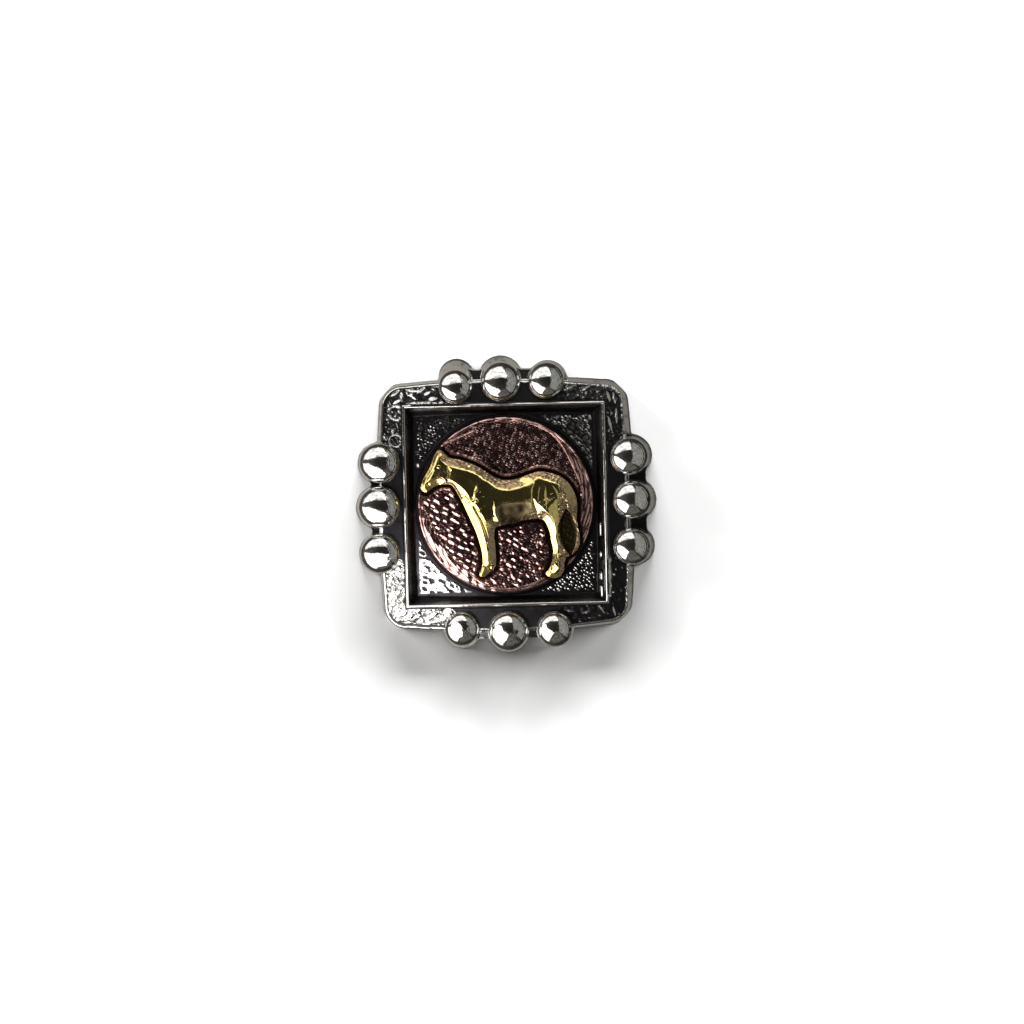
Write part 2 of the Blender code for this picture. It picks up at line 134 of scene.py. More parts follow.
# Long facets hammered into the disc's rim: the way each faces in degrees, its distance and its slope
RIM_FACETS = (
    (128, 8.3, 0.16), (95, 8.45, 0.14), (62, 8.2, 0.17), (38, 8.4, 0.15), (17, 8.25, 0.18),
    (-8, 8.35, 0.16), (-30, 8.2, 0.15), (-58, 8.4, 0.17), (-84, 8.15, 0.15), (-108, 8.4, 0.17),
    (-132, 8.25, 0.18), (-151, 8.4, 0.15), (-172, 8.6, 0.06), (158, 8.6, 0.06),
)

# The raised line across the disc's upper left
DISC_CHORD = ((-7.0, 6.25), (-3.2, 7.82))

# Brass horse and copper disc
DISC_GROUND = 2.6
DISC_RIM_TOP = 2.8
DISC_SEAT_GAP = 0.03
HORSE_SEAT = 2.6
HORSE_EDGE = 3.2
HORSE_LENGTH = 16.7
HORSE_CORNER = (-8.93, -7.83)
HORSE_FACE = 0.32

# The horse's outline in hundredths of its length, from the muzzle over the back to the hooves
HORSE_OUTLINE = (
    (0, 59), (1, 62.5), (3, 66.5), (5.5, 70.5), (7.5, 75), (9.5, 79.5), (12.5, 82.5), (15, 81),
    (18.5, 77.5), (25, 76), (32, 73.5), (38, 70.5), (43, 67), (48, 64), (53.5, 62.5), (60, 63),
    (68, 65.5), (75, 67.5), (82, 66.5), (88.5, 64), (94, 59.5), (97.5, 53), (99, 46), (98.5, 36),
    (100, 26), (99.5, 19.5), (96.5, 15.5), (92, 13), (90, 9), (89.5, 4), (86, 0), (81.5, 0),
    (78, 2.5), (80.5, 6), (82.5, 12), (83, 18), (81.8, 24), (80.7, 30.3), (76.6, 37.0), (66, 37),
    (58.5, 35), (48, 33), (46, 28), (46.5, 20), (46.5, 9), (43, 4.5), (38.5, 1.5), (36, 3),
    (38, 9), (38, 16), (36.5, 23), (34, 31), (31, 38), (27.5, 46), (25, 51.5), (22, 57),
    (19, 60.5), (12, 60.5), (7.5, 58.5), (4, 56), (1.5, 56.5),
)

# The horse's masses in the same hundredths: two ends with their half widths, and a height
HORSE_MASSES = (
    ((12, 75, 7.5), (4, 60, 4.5), 0.26),
    ((14, 68, 8), (12, 66, 7), 0.22),
    ((18, 71, 8), (34, 57, 14), 0.3),
    ((35, 48, 12), (36, 55, 12), 0.46),
    ((42, 49, 15), (70, 52, 14), 0.47),
    ((80, 52, 15), (82, 50, 14), 0.4),
    ((80, 48, 11), (84, 30, 5.5), 0.43),
    ((84, 30, 5), (86, 6, 4.2), 0.3),
    ((85, 4, 5), (81, 3, 4), 0.36),
    ((32, 44, 9), (41, 24, 5.5), 0.38),
    ((41, 24, 5), (42, 8, 4.4), 0.3),
    ((41, 6, 4.6), (39, 4, 4), 0.34),
    ((93, 56, 5), (97.5, 36, 2.6), 0.25),
    ((97.5, 36, 2.6), (96, 17, 3.6), 0.21),
)

# How steeply the horse's edge rises, by the way it faces in degrees: right, up, left, down and right again
HORSE_SLOPES = (
    (0, 0.45), (50, 0.5), (75, 0.49), (115, 0.52), (140, 0.85), (165, 0.85), (185, 0.68), (250, 0.66),
    (275, 0.5), (310, 0.45), (360, 0.45),
)

# Ridges in the brass: how steep they climb, and the (x, y, width) of the slope that climbs
HORSE_RIDGES = (
    (0.4, (
        (-5.99, 2.79, 0.11), (-5.62, 2.55, 0.28), (-5.0, 2.08, 0.36), (-4.48, 1.54, 0.45),
    (-4.07, 1.0, 0.42), (-3.76, 0.46, 0.06),
    )),
    (0.46, (
        (-8.33, 2.84, 0.11), (-7.96, 2.68, 0.37), (-7.33, 2.39, 0.47), (-6.8, 2.12, 0.38),
    (-6.38, 1.9, 0.11),
    )),
    (0.36, ((-3.03, 2.03, 0.06), (-3.21, 1.51, 0.25), (-3.24, 0.87, 0.25), (-3.18, 0.34, 0.06))),
    (0.4, ((-3.66, 0.4, 0.06), (-3.34, 0.13, 0.28), (-2.98, -0.25, 0.23), (-2.72, -0.63, 0.06))),
    (0.36, (
        (-3.3, -0.19, 0.06), (-3.04, -0.67, 0.28), (-2.63, -1.11, 0.36), (-2.22, -1.81, 0.34),
        (-2.02, -2.34, 0.28), (-1.93, -3.09, 0.23), (-1.84, -3.84, 0.06),
    )),
    (0.38, (
        (-1.23, 0.4, 0.06), (-1.21, -0.24, 0.23), (-1.2, -0.77, 0.17), (-1.17, -1.3, 0.38),
    (-1.0, -1.84, 0.53), (-0.74, -2.27, 0.11),
    )),
    (0.36, ((2.81, -0.22, 0.06), (2.78, 0.63, 0.17), (2.83, 1.58, 0.17), (3.07, 2.11, 0.06))),
    (0.36, ((3.46, 0.4, 0.06), (3.53, 1.14, 0.13), (3.65, 1.78, 0.06))),
    (0.36, ((4.34, -0.58, 0.06), (4.31, 0.38, 0.23), (4.28, 1.34, 0.17), (4.24, 1.87, 0.06))),
    (0.36, ((5.78, -0.5, 0.06), (5.66, 0.56, 0.19), (5.45, 1.31, 0.19), (5.04, 1.9, 0.06))),
    (0.38, (
        (2.99, 0.62, 0.06), (3.24, 0.03, 0.32), (3.6, -0.51, 0.64), (3.96, -0.94, 0.74),
        (4.38, -1.32, 0.58), (4.8, -1.65, 0.32), (5.11, -2.03, 0.06),
    )),
    (0.38, ((4.17, -5.99, 0.11), (4.58, -6.48, 0.74), (5.1, -7.02, 0.85), (5.62, -7.62, 0.64))),
)

# How far a ridge takes to fade out beyond its ends
RIDGE_FADE = 0.3

# Small bumps and pits in the brass, (x, y, radius, height)
HORSE_SPOTS = (
    (-6.95, 4.16, 0.21, 0.04), (-8.15, 2.36, 0.23, -0.1), (-3.07, 0.51, 0.25, 0.06),
    (-3.76, 0.35, 0.15, 0.03), (-3.49, 0.72, 0.21, -0.06), (-5.86, 3.69, 0.28, -0.06),
    (-6.56, 5.41, 0.32, 0.08), (-1.9, -6.6, 0.28, -0.1),
)

# Creases in the brass: half width, depth and line
HORSE_CREASES = (
    (0.09, 0.16, ((-3.4, -0.14), (-3.05, -0.89), (-2.59, -1.69), (-2.24, -2.55), (-1.99, -3.41))),
    (0.1, 0.1, ((-5.98, 4.07), (-5.85, 3.48), (-6.01, 2.95))),
)

# Where the dull edge of the back is rubbed bright, (x, y, half width, half height)
HORSE_RUBBED = (
    (2.24, 2.55, 0.64, 0.32), (3.57, 2.73, 0.32, 0.21), (-6.56, 5.41, 0.28, 0.23),
    (-2.54, 2.61, 0.21, 0.16), (-3.78, 4.18, 0.17, 0.11), (-0.52, 2.83, 0.14, 0.11),
)

# The hollow between the hind leg and the tail: its ends and its half width in the middle
HORSE_HOLLOW = ((6.45, -0.8), (6.75, -5.3), 1.1)


def smooth_max(a, b, blend):
    """The larger of two heights, with a fillet of the given size where they meet."""
    share = np.clip(0.5 + 0.5 * (a - b) / blend, 0, 1)
    return b + (a - b) * share + blend * share * (1 - share)


def smooth_min(a, b, blend):
    """The smaller of two heights, rounded over where they meet."""
    return -smooth_max(-a, -b, blend)


def ease(low, high, value):
    """Rise smoothly from 0 at low to 1 at high."""
    share = np.clip((value - low) / (high - low), 0, 1)
    return share * share * (3 - 2 * share)


def turned(x, y, degrees):
    """Places measured along a direction and to the left of it."""
    cosine = math.cos(math.radians(degrees))
    sine = math.sin(math.radians(degrees))
    return x * cosine + y * sine, -x * sine + y * cosine


def largest(*fields):
    """The largest of several values at each place."""
    return reduce(np.maximum, fields)


def bell(value, middle, width, power=2):
    """Rise to 1 at the middle and fall to about a third at the given width on both sides."""
    return np.exp(-((value - middle) / width) ** power)


def bump_field(seed, pitch, stretch, turn, radius, low, flatness):
    """A function that gives the height, low to 1, of round or long bumps scattered at a pitch."""
    size = FIELD_SIZE
    shifts = np.random.default_rng(seed).uniform(-0.34, 0.34, (size, size, 2))
    heights = np.random.default_rng(seed + 1).uniform(low, 1.0, (size, size))

    def bumps(x, y, cover=1.0):
        u, v = turned(x, y, turn)
        u = u / stretch
        column = np.floor(u / pitch).astype(int)
        row = np.floor(v / pitch).astype(int)
        best = np.zeros(x.shape)
        for beside, above in product((-1, 0, 1), repeat=2):
            i = (column + beside) % size
            j = (row + above) % size
            away_u = u - (column + beside + 0.5 + shifts[i, j, 0]) * pitch
            away_v = v - (row + above + 0.5 + shifts[i, j, 1]) * pitch
            share = (away_u ** 2 + away_v ** 2) / (radius * cover) ** 2
            best = np.maximum(best, heights[i, j] * np.clip(1 - share, 0, 1) ** flatness)
        return best

    return bumps


def blended(table, i, j, u, v):
    """The value between four neighbours in a table that repeats, by shares along its two sides."""
    after_i = (i + 1) % len(table)
    after_j = (j + 1) % len(table)
    lower = table[i, j] * (1 - u) + table[after_i, j] * u
    upper = table[i, after_j] * (1 - u) + table[after_i, after_j] * u
    return lower * (1 - v) + upper * v


def cloud_field(seed, pitch):
    """A function that gives smooth random levels, -1 to 1, that change over about a pitch."""
    size = FIELD_SIZE
    table = np.random.default_rng(seed).uniform(-1, 1, (size, size))

    def level(x, y):
        u = x / pitch + size / 2
        v = y / pitch + size / 2
        i = np.floor(u).astype(int) % size
        j = np.floor(v).astype(int) % size
        u = u - np.floor(u)
        v = v - np.floor(v)
        return blended(table, i, j, u * u * (3 - 2 * u), v * v * (3 - 2 * v))

    return level


def chip_field(seed, facing, scale):
    """A function that gives scattered chisel cuts: a height, 0 to 1, and 1 on their short faces."""
    size = FIELD_SIZE
    row_pitch = 0.72 * scale
    chip_pitch = 0.84 * scale
    climb = 0.55 * scale
    face = 0.25 * scale
    half = 0.38 * scale
    shifts = np.random.default_rng(seed).uniform(-0.3, 0.3, (size, size, 2))
    sizes = np.random.default_rng(seed + 1).uniform(0.45, 1.0, (size, size))

    def chips(x, y):
        toward, across = turned(x, y, facing)
        row = np.floor(toward / row_pitch).astype(int)
        column = np.floor(across / chip_pitch + 0.5 * (row % 2)).astype(int)
        height = np.zeros(x.shape)
        bright = np.zeros(x.shape)
        for above, beside in product((-1, 0, 1), repeat=2):
            i = row + above
            j = column + beside
            shift = shifts[i % size, j % size]
            large = sizes[i % size, j % size]
            w = (toward - (i + 0.5 + shift[..., 0]) * row_pitch) / large
            s = (across - (j + 0.5 - 0.5 * (i % 2) + shift[..., 1]) * chip_pitch) / (half * large)
            side = np.sqrt(np.clip(1 - s ** 2, 0, 1))
            here = np.clip(np.minimum(1 + w / climb, 1 - w / face), 0, 1) * side * large
            higher = here > height
            height = np.where(higher, here, height)
            cut_face = ease(-0.03, 0.02, w) * ease(0.1, 0.3, side)
            bright = np.where(higher, cut_face, bright)
        return height, bright

    return chips


panel_pebbles = bump_field(11, 0.42, 1.6, -12, 0.25, 0.35, 1.0)
panel_grains = bump_field(14, 0.30, 1.7, -42, 0.16, 0.2, 1.0)
panel_pits = bump_field(12, 0.55, 1.5, -40, 0.24, 0.0, 0.7)
leaf_strokes = bump_field(51, 0.6, 2.6, 24, 0.25, 0.4, 0.7)
disc_chips = chip_field(37, 240, 1.0)
leaf_chips = chip_field(61, 215, 0.62)
leaf_cross_chips = chip_field(62, 255, 0.66)
panel_chips = chip_field(63, 232, 0.5)
panel_dashes = chip_field(64, 252, 0.45)
rim_streaks = bump_field(39, 0.34, 5.0, 8, 0.2, 0.3, 0.8)
disc_grains = bump_field(38, 0.28, 1.2, -20, 0.16, 0.1, 1.0)
brass_grains = bump_field(91, 0.30, 1.4, -20, 0.17, 0.1, 1.0)
broad_dents = cloud_field(71, 1.1)
fine_dents = cloud_field(72, 0.35)


# The casting: frame, beads, leaves and pebbled panel

def frame_depth(x, y):
    """How far each place is in from the frame's outline."""
    ax = np.abs(x)
    ay = np.abs(y)
    reach = FRAME_HALF - FRAME_CORNER_RADIUS
    half_x = FRAME_HALF + FRAME_EXTRA + FRAME_SIDE_BOW * (1 - np.minimum(ay / reach, 1) ** 2)
    half_y = FRAME_HALF + FRAME_SIDE_BOW * (1 - np.minimum(ax / reach, 1) ** 2)
    over_x = ax - half_x + FRAME_CORNER_RADIUS
    over_y = ay - half_y + FRAME_CORNER_RADIUS
    outside = np.hypot(np.maximum(over_x, 0), np.maximum(over_y, 0))
    return FRAME_CORNER_RADIUS - outside - np.minimum(np.maximum(over_x, over_y), 0)


def to_side(side, x, y):
    """Turn places so that the given side is the upper one."""
    turns = ((x, y), (y, -x), (-x, -y), (-y, x))
    return turns[side]


def bead_heights(x, y):
    """The height of the beads, and of their stems' walls carried on upwards."""
    dome = np.full(x.shape, NO_BEAD)
    wall = np.full(x.shape, NO_WALL)
    for side, (base_u, base_v, base_radius), (top_u, top_v, top_radius) in BEADS:
        u, v = to_side(side, x, y)
        to_top = np.hypot(u - top_u, v - top_v)
        ball = top_radius * BEAD_BALL
        cut_off = BEAD_FLATNESS * math.sqrt(ball ** 2 - top_radius ** 2)
        shoulder = BEAD_TOP - 0.5 * (BEAD_RADIUS - top_radius) - BEAD_FLATNESS * ball + cut_off
        lean_u = top_u - base_u
        lean_v = top_v - base_v
        shrink = top_radius - base_radius
        from_base_u = u - base_u
        from_base_v = v - base_v
        outside = from_base_u ** 2 + from_base_v ** 2 - base_radius ** 2
        half = from_base_u * lean_u + from_base_v * lean_v + base_radius * shrink
        curve = lean_u ** 2 + lean_v ** 2 - shrink ** 2
        rise = -outside / (np.sqrt(np.clip(half ** 2 - curve * outside, 0, None)) - half + 1e-9)
        beyond = (base_radius - np.hypot(from_base_u, from_base_v)) / BEAD_DRAFT
        stem = shoulder * np.where(outside < 0, rise, beyond)
        round_top = shoulder - cut_off + BEAD_FLATNESS * np.sqrt(np.clip(ball ** 2 - to_top ** 2, 0, None))
        off_u = u - top_u
        off_v = v - top_v
        off_x = (off_u, -off_v, -off_u, off_v)[side]
        ringed = ease(0.25, 0.6, off_x / top_radius) * ease(1.0, 0.9, to_top / top_radius)
        round_top = round_top + 0.008 * ringed * np.sin(to_top * 2 * math.pi / 0.2)
        under = shoulder + (top_radius - to_top) * BEAD_UNDERCUT
        side_wall = np.minimum(np.maximum(under, stem), shoulder)
        dome = np.maximum(dome, np.where(to_top < top_radius, round_top, side_wall))
        wall = np.maximum(wall, stem)
    return dome, wall


def web_wall(x, y):
    """The wall of the webs that tie the beads to the frame, carried on upwards."""
    wall = np.full(x.shape, NO_WALL)
    slope = BEAD_SPRING_HEIGHT / BEAD_DRAFT
    for side in range(4):
        u, v = to_side(side, x, y)
        inside = np.minimum(BEAD_PITCH - np.abs(u), FRAME_HALF + WEB_REACHES[side] - v)
        inside = np.minimum(inside, v - FRAME_HALF + 1)
        wall = np.maximum(wall, inside * slope)
    return wall


def wall_run(x, y):
    """How far the frame's side wall leans in, which is most on the right and least at the bottom."""
    u = x / FRAME_HALF
    v = y / FRAME_HALF
    return np.clip(0.43 + 0.16 * u + 0.085 * v + 0.17 * (u * u - v * v), 0.16, 0.8)


def casting_wall(x, y):
    """The side wall all round the casting, carried on upwards; it is zero on the outline."""
    fillet = 5.0
    depth = frame_depth(x, y)
    wall = smooth_max(depth * FRAME_EDGE_HEIGHT / wall_run(x, y), bead_heights(x, y)[1], fillet)
    return smooth_max(wall, web_wall(x, y), fillet)


def petal(x, y, root_x, root_y, tip_x, tip_y, width, side):
    """A worn petal, 0 to 1, that slopes down to the left of its way or, for a side of -1, to the right."""
    run_x = tip_x - root_x
    run_y = tip_y - root_y
    length = math.hypot(run_x, run_y)
    along = ((x - root_x) * run_x + (y - root_y) * run_y) / length ** 2
    across = ((y - root_y) * run_x - (x - root_x) * run_y) / length
    swell = np.sin(math.pi * np.clip(along, 0, 1) ** 0.75)
    share = side * across / (width / 2 * swell + 1e-6)
    return np.where(np.abs(share) < 1, swell * (1 - share) / 2, 0)


def rounded(share):
    """The height, 0 to 1, of a round top, by how far out each place is as a share of its half width."""
    return np.sqrt(np.clip(1 - share ** 2, 0, 1))


def leaf_relief(x, y, along, out):
    """The worn leaves, rings and berries of the corners: their height and how bright they are."""
    right = x > 0
    upper = y > 0
    cover = np.where(upper, np.where(right, 0.45, 0.5), np.where(right, 0.3, 1.8))
    shift = 17 * right + 31 * upper + 5 * (np.abs(x) > np.abs(y))
    relief = np.where(right | upper, 0.5, 1.0) * leaf_strokes(along + shift, out - shift, cover)
    bright = 0.95 * relief
    for *ends, width, side in CORNER_PETALS:
        leaf = petal(x, y, *ends, width, side)
        relief = np.maximum(relief, 1.15 * width * leaf)
        bright = np.maximum(bright, ease(0, 0.15, leaf))
    for berry_x, berry_y, radius, lift in CORNER_BERRIES:
        relief = np.maximum(relief, lift * rounded(np.hypot(x - berry_x, y - berry_y) / radius))
    for ring_x, ring_y, radius, tube in CORNER_RINGS:
        off_tube = (np.hypot(x - ring_x, y - ring_y) - radius) / tube
        relief = np.maximum(relief, 0.9 * rounded(off_tube))
    return relief, np.maximum(bright, 0.95 * relief)


def field_inside(depth, along, out):
    """How far each place is inside a corner's sunk field."""
    outer = depth - FRAME_WALL_RUN - FRAME_SHOULDER - 0.08
    inner_edge = OPENING_HALF + FRAME_LIP_WIDTH + 0.1
    outer_edge = FRAME_HALF - FRAME_WALL_RUN - FRAME_SHOULDER - FIELD_MARGIN
    inner = out - inner_edge
    half_width = (outer_edge - inner_edge) / 2
    middle = (outer_edge + inner_edge) / 2
    end = half_width - np.hypot(along - FIELD_ARM, out - middle)
    return np.where(along > FIELD_ARM, np.minimum(outer, inner), end)


def field_floor(x, y, along, out, top):
    """The floor of the corners' sunk fields with its leaves and chips, and how bright each of those is."""
    relief, leaf_bright = leaf_relief(x, y, along, out)
    cut, cut_face = leaf_chips(x, y)
    cross_cut, cross_face = leaf_cross_chips(x, y)
    plain = np.where(y < 0, np.where(x > 0, 0.15, 1.0), 0.4)
    chip = np.maximum(cut, cross_cut)
    bright = np.where(cut > cross_cut, cut_face, cross_face) * ease(0.1, 0.4, chip * plain)
    floor = top - FIELD_DEPTH + 0.33 * relief + 0.10 * chip * plain + 0.02 * fine_dents(x, y)
    return floor, leaf_bright, bright


def panel_relief(x, y, off_lip):
    """The sunk panel, pebbled in a way of its own in each corner: its height and how dark it is, with
    patina between the pebbles and painted shade along the foot of the opening's wall.
    """
    reach = np.hypot(x, y)
    on_panel = ease(-1.1, -1.35, off_lip) * ease(DISC_RADIUS + 0.55, DISC_RADIUS + 0.8, reach)
    lower_left = ease(-11.0, -14.0, x + y)
    upper_left = ease(9.0, 12.0, y - x)
    upper_right = ease(9.0, 12.0, x + y)
    lower_right = ease(-9.0, -12.0, y - x)
    pits = panel_pits(x, y) * on_panel * lower_left
    dash, dash_face = panel_dashes(x, y)
    flake, flake_face = panel_chips(x, y)
    pebble = panel_pebbles(x, y, 0.95 + 0.7 * lower_left) * (1 - upper_left) * (1 - lower_right)
    pebble = (pebble + (panel_grains(x, y) - pebble) * upper_right) * on_panel
    pebble_rise = 0.10 - 0.05 * upper_left - 0.055 * upper_right
    dome_fall = 0.07 * np.clip(reach - DISC_RADIUS - 0.6, 0, None)
    flakes = (0.030 * dash * upper_left + 0.055 * flake * lower_right) * on_panel
    flake_bright = np.maximum(0.7 * dash_face * upper_left, flake_face * lower_right) * on_panel
    height = PANEL_HEIGHT - dome_fall + pebble_rise * pebble - 0.07 * pits + flakes
    height = height + 0.14 * bell(reach - DISC_RADIUS, 0.38, 0.07)
    # Dark where no pebbles stand, less on pebbles and more in pits: patina, and painted shade in the plain
    # band along the wall's foot
    patina_and_shade = ease(-0.03, -0.15, off_lip) * np.clip(1 - 1.5 * pebble + 1.6 * pits, 0, 1)
    return height, patina_and_shade * (1 - flake_bright)


def casting_front(x, y):
    """The casting's front: its height, how much dark patina and painted shade it gets, and how dull it is.
    """
    ax = np.abs(x)
    ay = np.abs(y)
    out = np.maximum(ax, ay)
    along = np.minimum(ax, ay)
    off_lip = out - OPENING_HALF
    depth = frame_depth(x, y)
    run = wall_run(x, y)
    crest = FRAME_EDGE_HEIGHT + FRAME_SHOULDER
    from_crest = np.maximum(depth - run - FRAME_SHOULDER, 0)
    to_lip = np.maximum(off_lip - LIP_RIDGE, 0)
    top = crest + (FRAME_LIP_HEIGHT - crest) * from_crest / (from_crest + to_lip + 1e-6)
    worn_left = (y > ax) * ease(-10.3, -9.6, x) * ease(-5.2, -5.8, x)
    worn_right = (x > ay) * ease(-10.2, -9.6, y) * ease(-5.4, -6.2, y)
    worn = np.maximum(worn_left, worn_right)
    top = top - 0.08 * (1 - worn) * bell(off_lip, 0.3, 0.08)
    floor, leaf_bright, chip_bright = field_floor(x, y, along, out, top)
    sunk = ease(-0.04, 0.05, field_inside(depth, along, out))
    top = top + (floor - top) * sunk
    wall = depth * FRAME_EDGE_HEIGHT / run
    shoulder = FRAME_EDGE_HEIGHT + (depth - run)
    outer = smooth_min(smooth_min(wall, shoulder, 0.12), top, 0.06)
    flash = (x > ay) * ease(-0.2, 0.1, broad_dents(x * 0, y * 1.4)) * ease(-1.8, -2.4, y)
    inner = FRAME_LIP_HEIGHT + off_lip * (FRAME_LIP_HEIGHT - PANEL_HEIGHT) / OPENING_WALL_RUN
    inner = inner + 0.20 * flash * bell(off_lip, -0.55, 0.13)
    panel, panel_patina_and_shade = panel_relief(x, y, off_lip)
    bare = smooth_min(outer, smooth_max(inner, panel, 0.08), 0.05)
    dome = bead_heights(x, y)[0]
    fill = np.where(depth < run + FRAME_SHOULDER, np.minimum(casting_wall(x, y), WEB_HEIGHT), NO_BEAD)
    height = smooth_max(smooth_max(bare, dome, 0.14), fill, 0.1)
    dents = 0.016 * broad_dents(x, y) + 0.006 * fine_dents(x, y)
    height = height + dents * ease(0, 1.0, height)
    on_top = ease(run + 0.16, run + 0.3, depth) * ease(0.12, 0.28, off_lip)
    patina_and_shade = np.maximum(on_top * (1 - leaf_bright * sunk) * (1 - chip_bright * sunk), panel_patina_and_shade)
    patina_and_shade = patina_and_shade * (1 - worn * bell(off_lip, 0.2, 0.35, 4)) * (1 - flash * bell(off_lip, -0.55, 0.12, 4))
    # Painted shade on the outer side wall, darker in uneven patches
    on_wall = ease(run + 0.1, run - 0.05, depth) * ease(3.3, 2.9, height)
    wall_shade = 0.30 + 0.35 * broad_dents(x * 1.7, y * 1.7) + 0.25 * fine_dents(x, y)
    patina_and_shade = largest(
        patina_and_shade * ease(0.12, 0, dome - bare),
        0.9 * bell(dome, bare, 0.14),
        on_wall * np.clip(wall_shade, 0, 1),
        # Painted shade: the low part of the wall, next to the floor, is darkened
        ease(1.3, 0.2, height),
        # Painted shade: the webs between the beads on the left and right sides are darkened
        (fill > np.minimum(wall, WEB_HEIGHT) + 0.2) * (fill > dome) * (ax > ay) * (depth < run),
    )
    return height, patina_and_shade, np.zeros(x.shape)


def casting_back(x, y):
    """The casting's hollow back: its height, how dark it is made in its hollow and hole, and how dull it
    is.
    """
    out = np.maximum(np.abs(x), np.abs(y))
    reach = np.hypot(x, y)
    rim_half = FRAME_HALF - BACK_RIM_WIDTH
    hollow = np.clip((rim_half - out) / BACK_WALL_RUN, 0, 1) * BACK_RECESS_DEPTH
    edge = 0.06
    boss = np.clip((reach - BOSS_RADIUS) / edge, 0, 1)
    hole = np.clip((SCREW_HOLE_RADIUS - reach) / edge, 0, 1) * SCREW_HOLE_DEPTH
    patina_and_shade = 0.5 * ease(0.1, 0.6, hollow * boss + hole)
    return np.maximum(hollow * boss, hole), patina_and_shade, np.zeros(x.shape)


def round_outline(wall, count, longest):
    """The outline where a wall height is zero, found outwards from the middle and evenly spaced."""
    angles = np.linspace(0, 2 * math.pi, 4096, endpoint=False)
    low = np.full(angles.shape, longest * 0.6)
    high = np.full(angles.shape, longest)
    for _ in range(40):
        middle = (low + high) / 2
        solid = wall(middle * np.cos(angles), middle * np.sin(angles)) > 0
        low = np.where(solid, middle, low)
        high = np.where(solid, high, middle)
    x = low * np.cos(angles)
    y = low * np.sin(angles)
    steps = np.hypot(np.diff(x, append=x[0]), np.diff(y, append=y[0]))
    travelled = np.concatenate(([0], np.cumsum(steps)))
    wanted = np.linspace(0, travelled[-1], count, endpoint=False)
    x = np.interp(wanted, travelled, np.append(x, x[0]))
    y = np.interp(wanted, travelled, np.append(y, y[0]))
    return np.stack([x, y], 1)


# The corners of a cell, and its edges: the two corners they join and where their middles lie
CELL_CORNERS = ((0, 0), (1, 0), (0, 1), (1, 1))
CELL_EDGES = ((0, 1, (0.5, 0)), (0, 2, (0, 0.5)), (1, 3, (1, 0.5)), (2, 3, (0.5, 1)))


def adaptive_points(surface, low, high, coarse, halvings, tolerance):
    """Corners of square cells that are halved wherever the height inside them isn't flat."""
    fine = coarse / 2 ** halvings
    columns, rows = np.meshgrid(
        np.arange(math.floor(low[0] / coarse), math.ceil(high[0] / coarse)),
        np.arange(math.floor(low[1] / coarse), math.ceil(high[1] / coarse)),
    )
    cells = np.stack([columns.ravel(), rows.ravel()], 1) * 2 ** halvings
    size = 2 ** halvings
    kept = []
    while len(cells):
        corners = [cells + np.array(shift) * size for shift in CELL_CORNERS]
        kept += corners
        if size == 1:
            break
        levels = [surface(*(corner * fine).T)[0] for corner in corners]
        middle = cells + size / 2
        uneven = np.abs(surface(*(middle * fine).T)[0] - sum(levels) / 4)
        for first, second, shift in CELL_EDGES:
            edge = (cells + np.array(shift) * size) * fine
            uneven = np.maximum(uneven, np.abs(surface(*edge.T)[0] - (levels[first] + levels[second]) / 2))
        cells = cells[uneven > tolerance]
        size //= 2
        cells = np.concatenate([cells + np.array(shift) * size for shift in CELL_CORNERS])
    return np.unique(np.concatenate(kept), axis=0) * fine


def gradient_normals(surface, places):
    """Unit normals of a surface, pointing up."""
    step = 0.004
    x, y = places.T
    slope_x = (surface(x + step, y)[0] - surface(x - step, y)[0]) / (2 * step)
    slope_y = (surface(x, y + step)[0] - surface(x, y - step)[0]) / (2 * step)
    normals = np.stack([-slope_x, -slope_y, np.ones(len(x))], 1)
    return normals / np.linalg.norm(normals, axis=1, keepdims=True)


def triangulate(outline, points):
    """Triangles over an outline with points inside it; the outline's points come first."""
    vectors = [Vector(place) for place in outline.tolist() + points.tolist()]
    flat, _, faces, origins, _, _ = delaunay_2d_cdt(vectors, [], [list(range(len(outline)))], 1, 1e-6)
    places = np.array([(v.x, v.y) for v in flat])
    index_of = {first[0]: index for index, first in enumerate(origins) if first}
    rim = [index_of[index] for index in range(len(outline))]
    return places, np.array(faces), np.array(rim)


def edge_wall(outline, upper_rim, lower_rim):
    """The wall that joins the front's rim to the back's, as triangles with a normal at each corner."""
    after = np.roll(outline, -1, 0)
    tangent = after - np.roll(outline, 1, 0)
    area = np.sum(outline[:, 0] * after[:, 1] - outline[:, 1] * after[:, 0])
    turn = 1 if area > 0 else -1
    side = turn * np.column_stack([tangent[:, 1], -tangent[:, 0], np.zeros(len(outline))])
    side /= np.linalg.norm(side, axis=1, keepdims=True)
    next_upper = np.roll(upper_rim, -1)
    next_lower = np.roll(lower_rim, -1)
    next_side = np.roll(side, -1, 0)
    first = np.stack([upper_rim, lower_rim, next_lower], 1)
    second = np.stack([upper_rim, next_lower, next_upper], 1)
    first_normals = np.stack([side, side, next_side], 1)
    second_normals = np.stack([side, next_side, next_side], 1)
    faces = np.concatenate([first, second])
    normals = np.concatenate([first_normals, second_normals])
    return faces[:, ::turn], normals[:, ::turn]


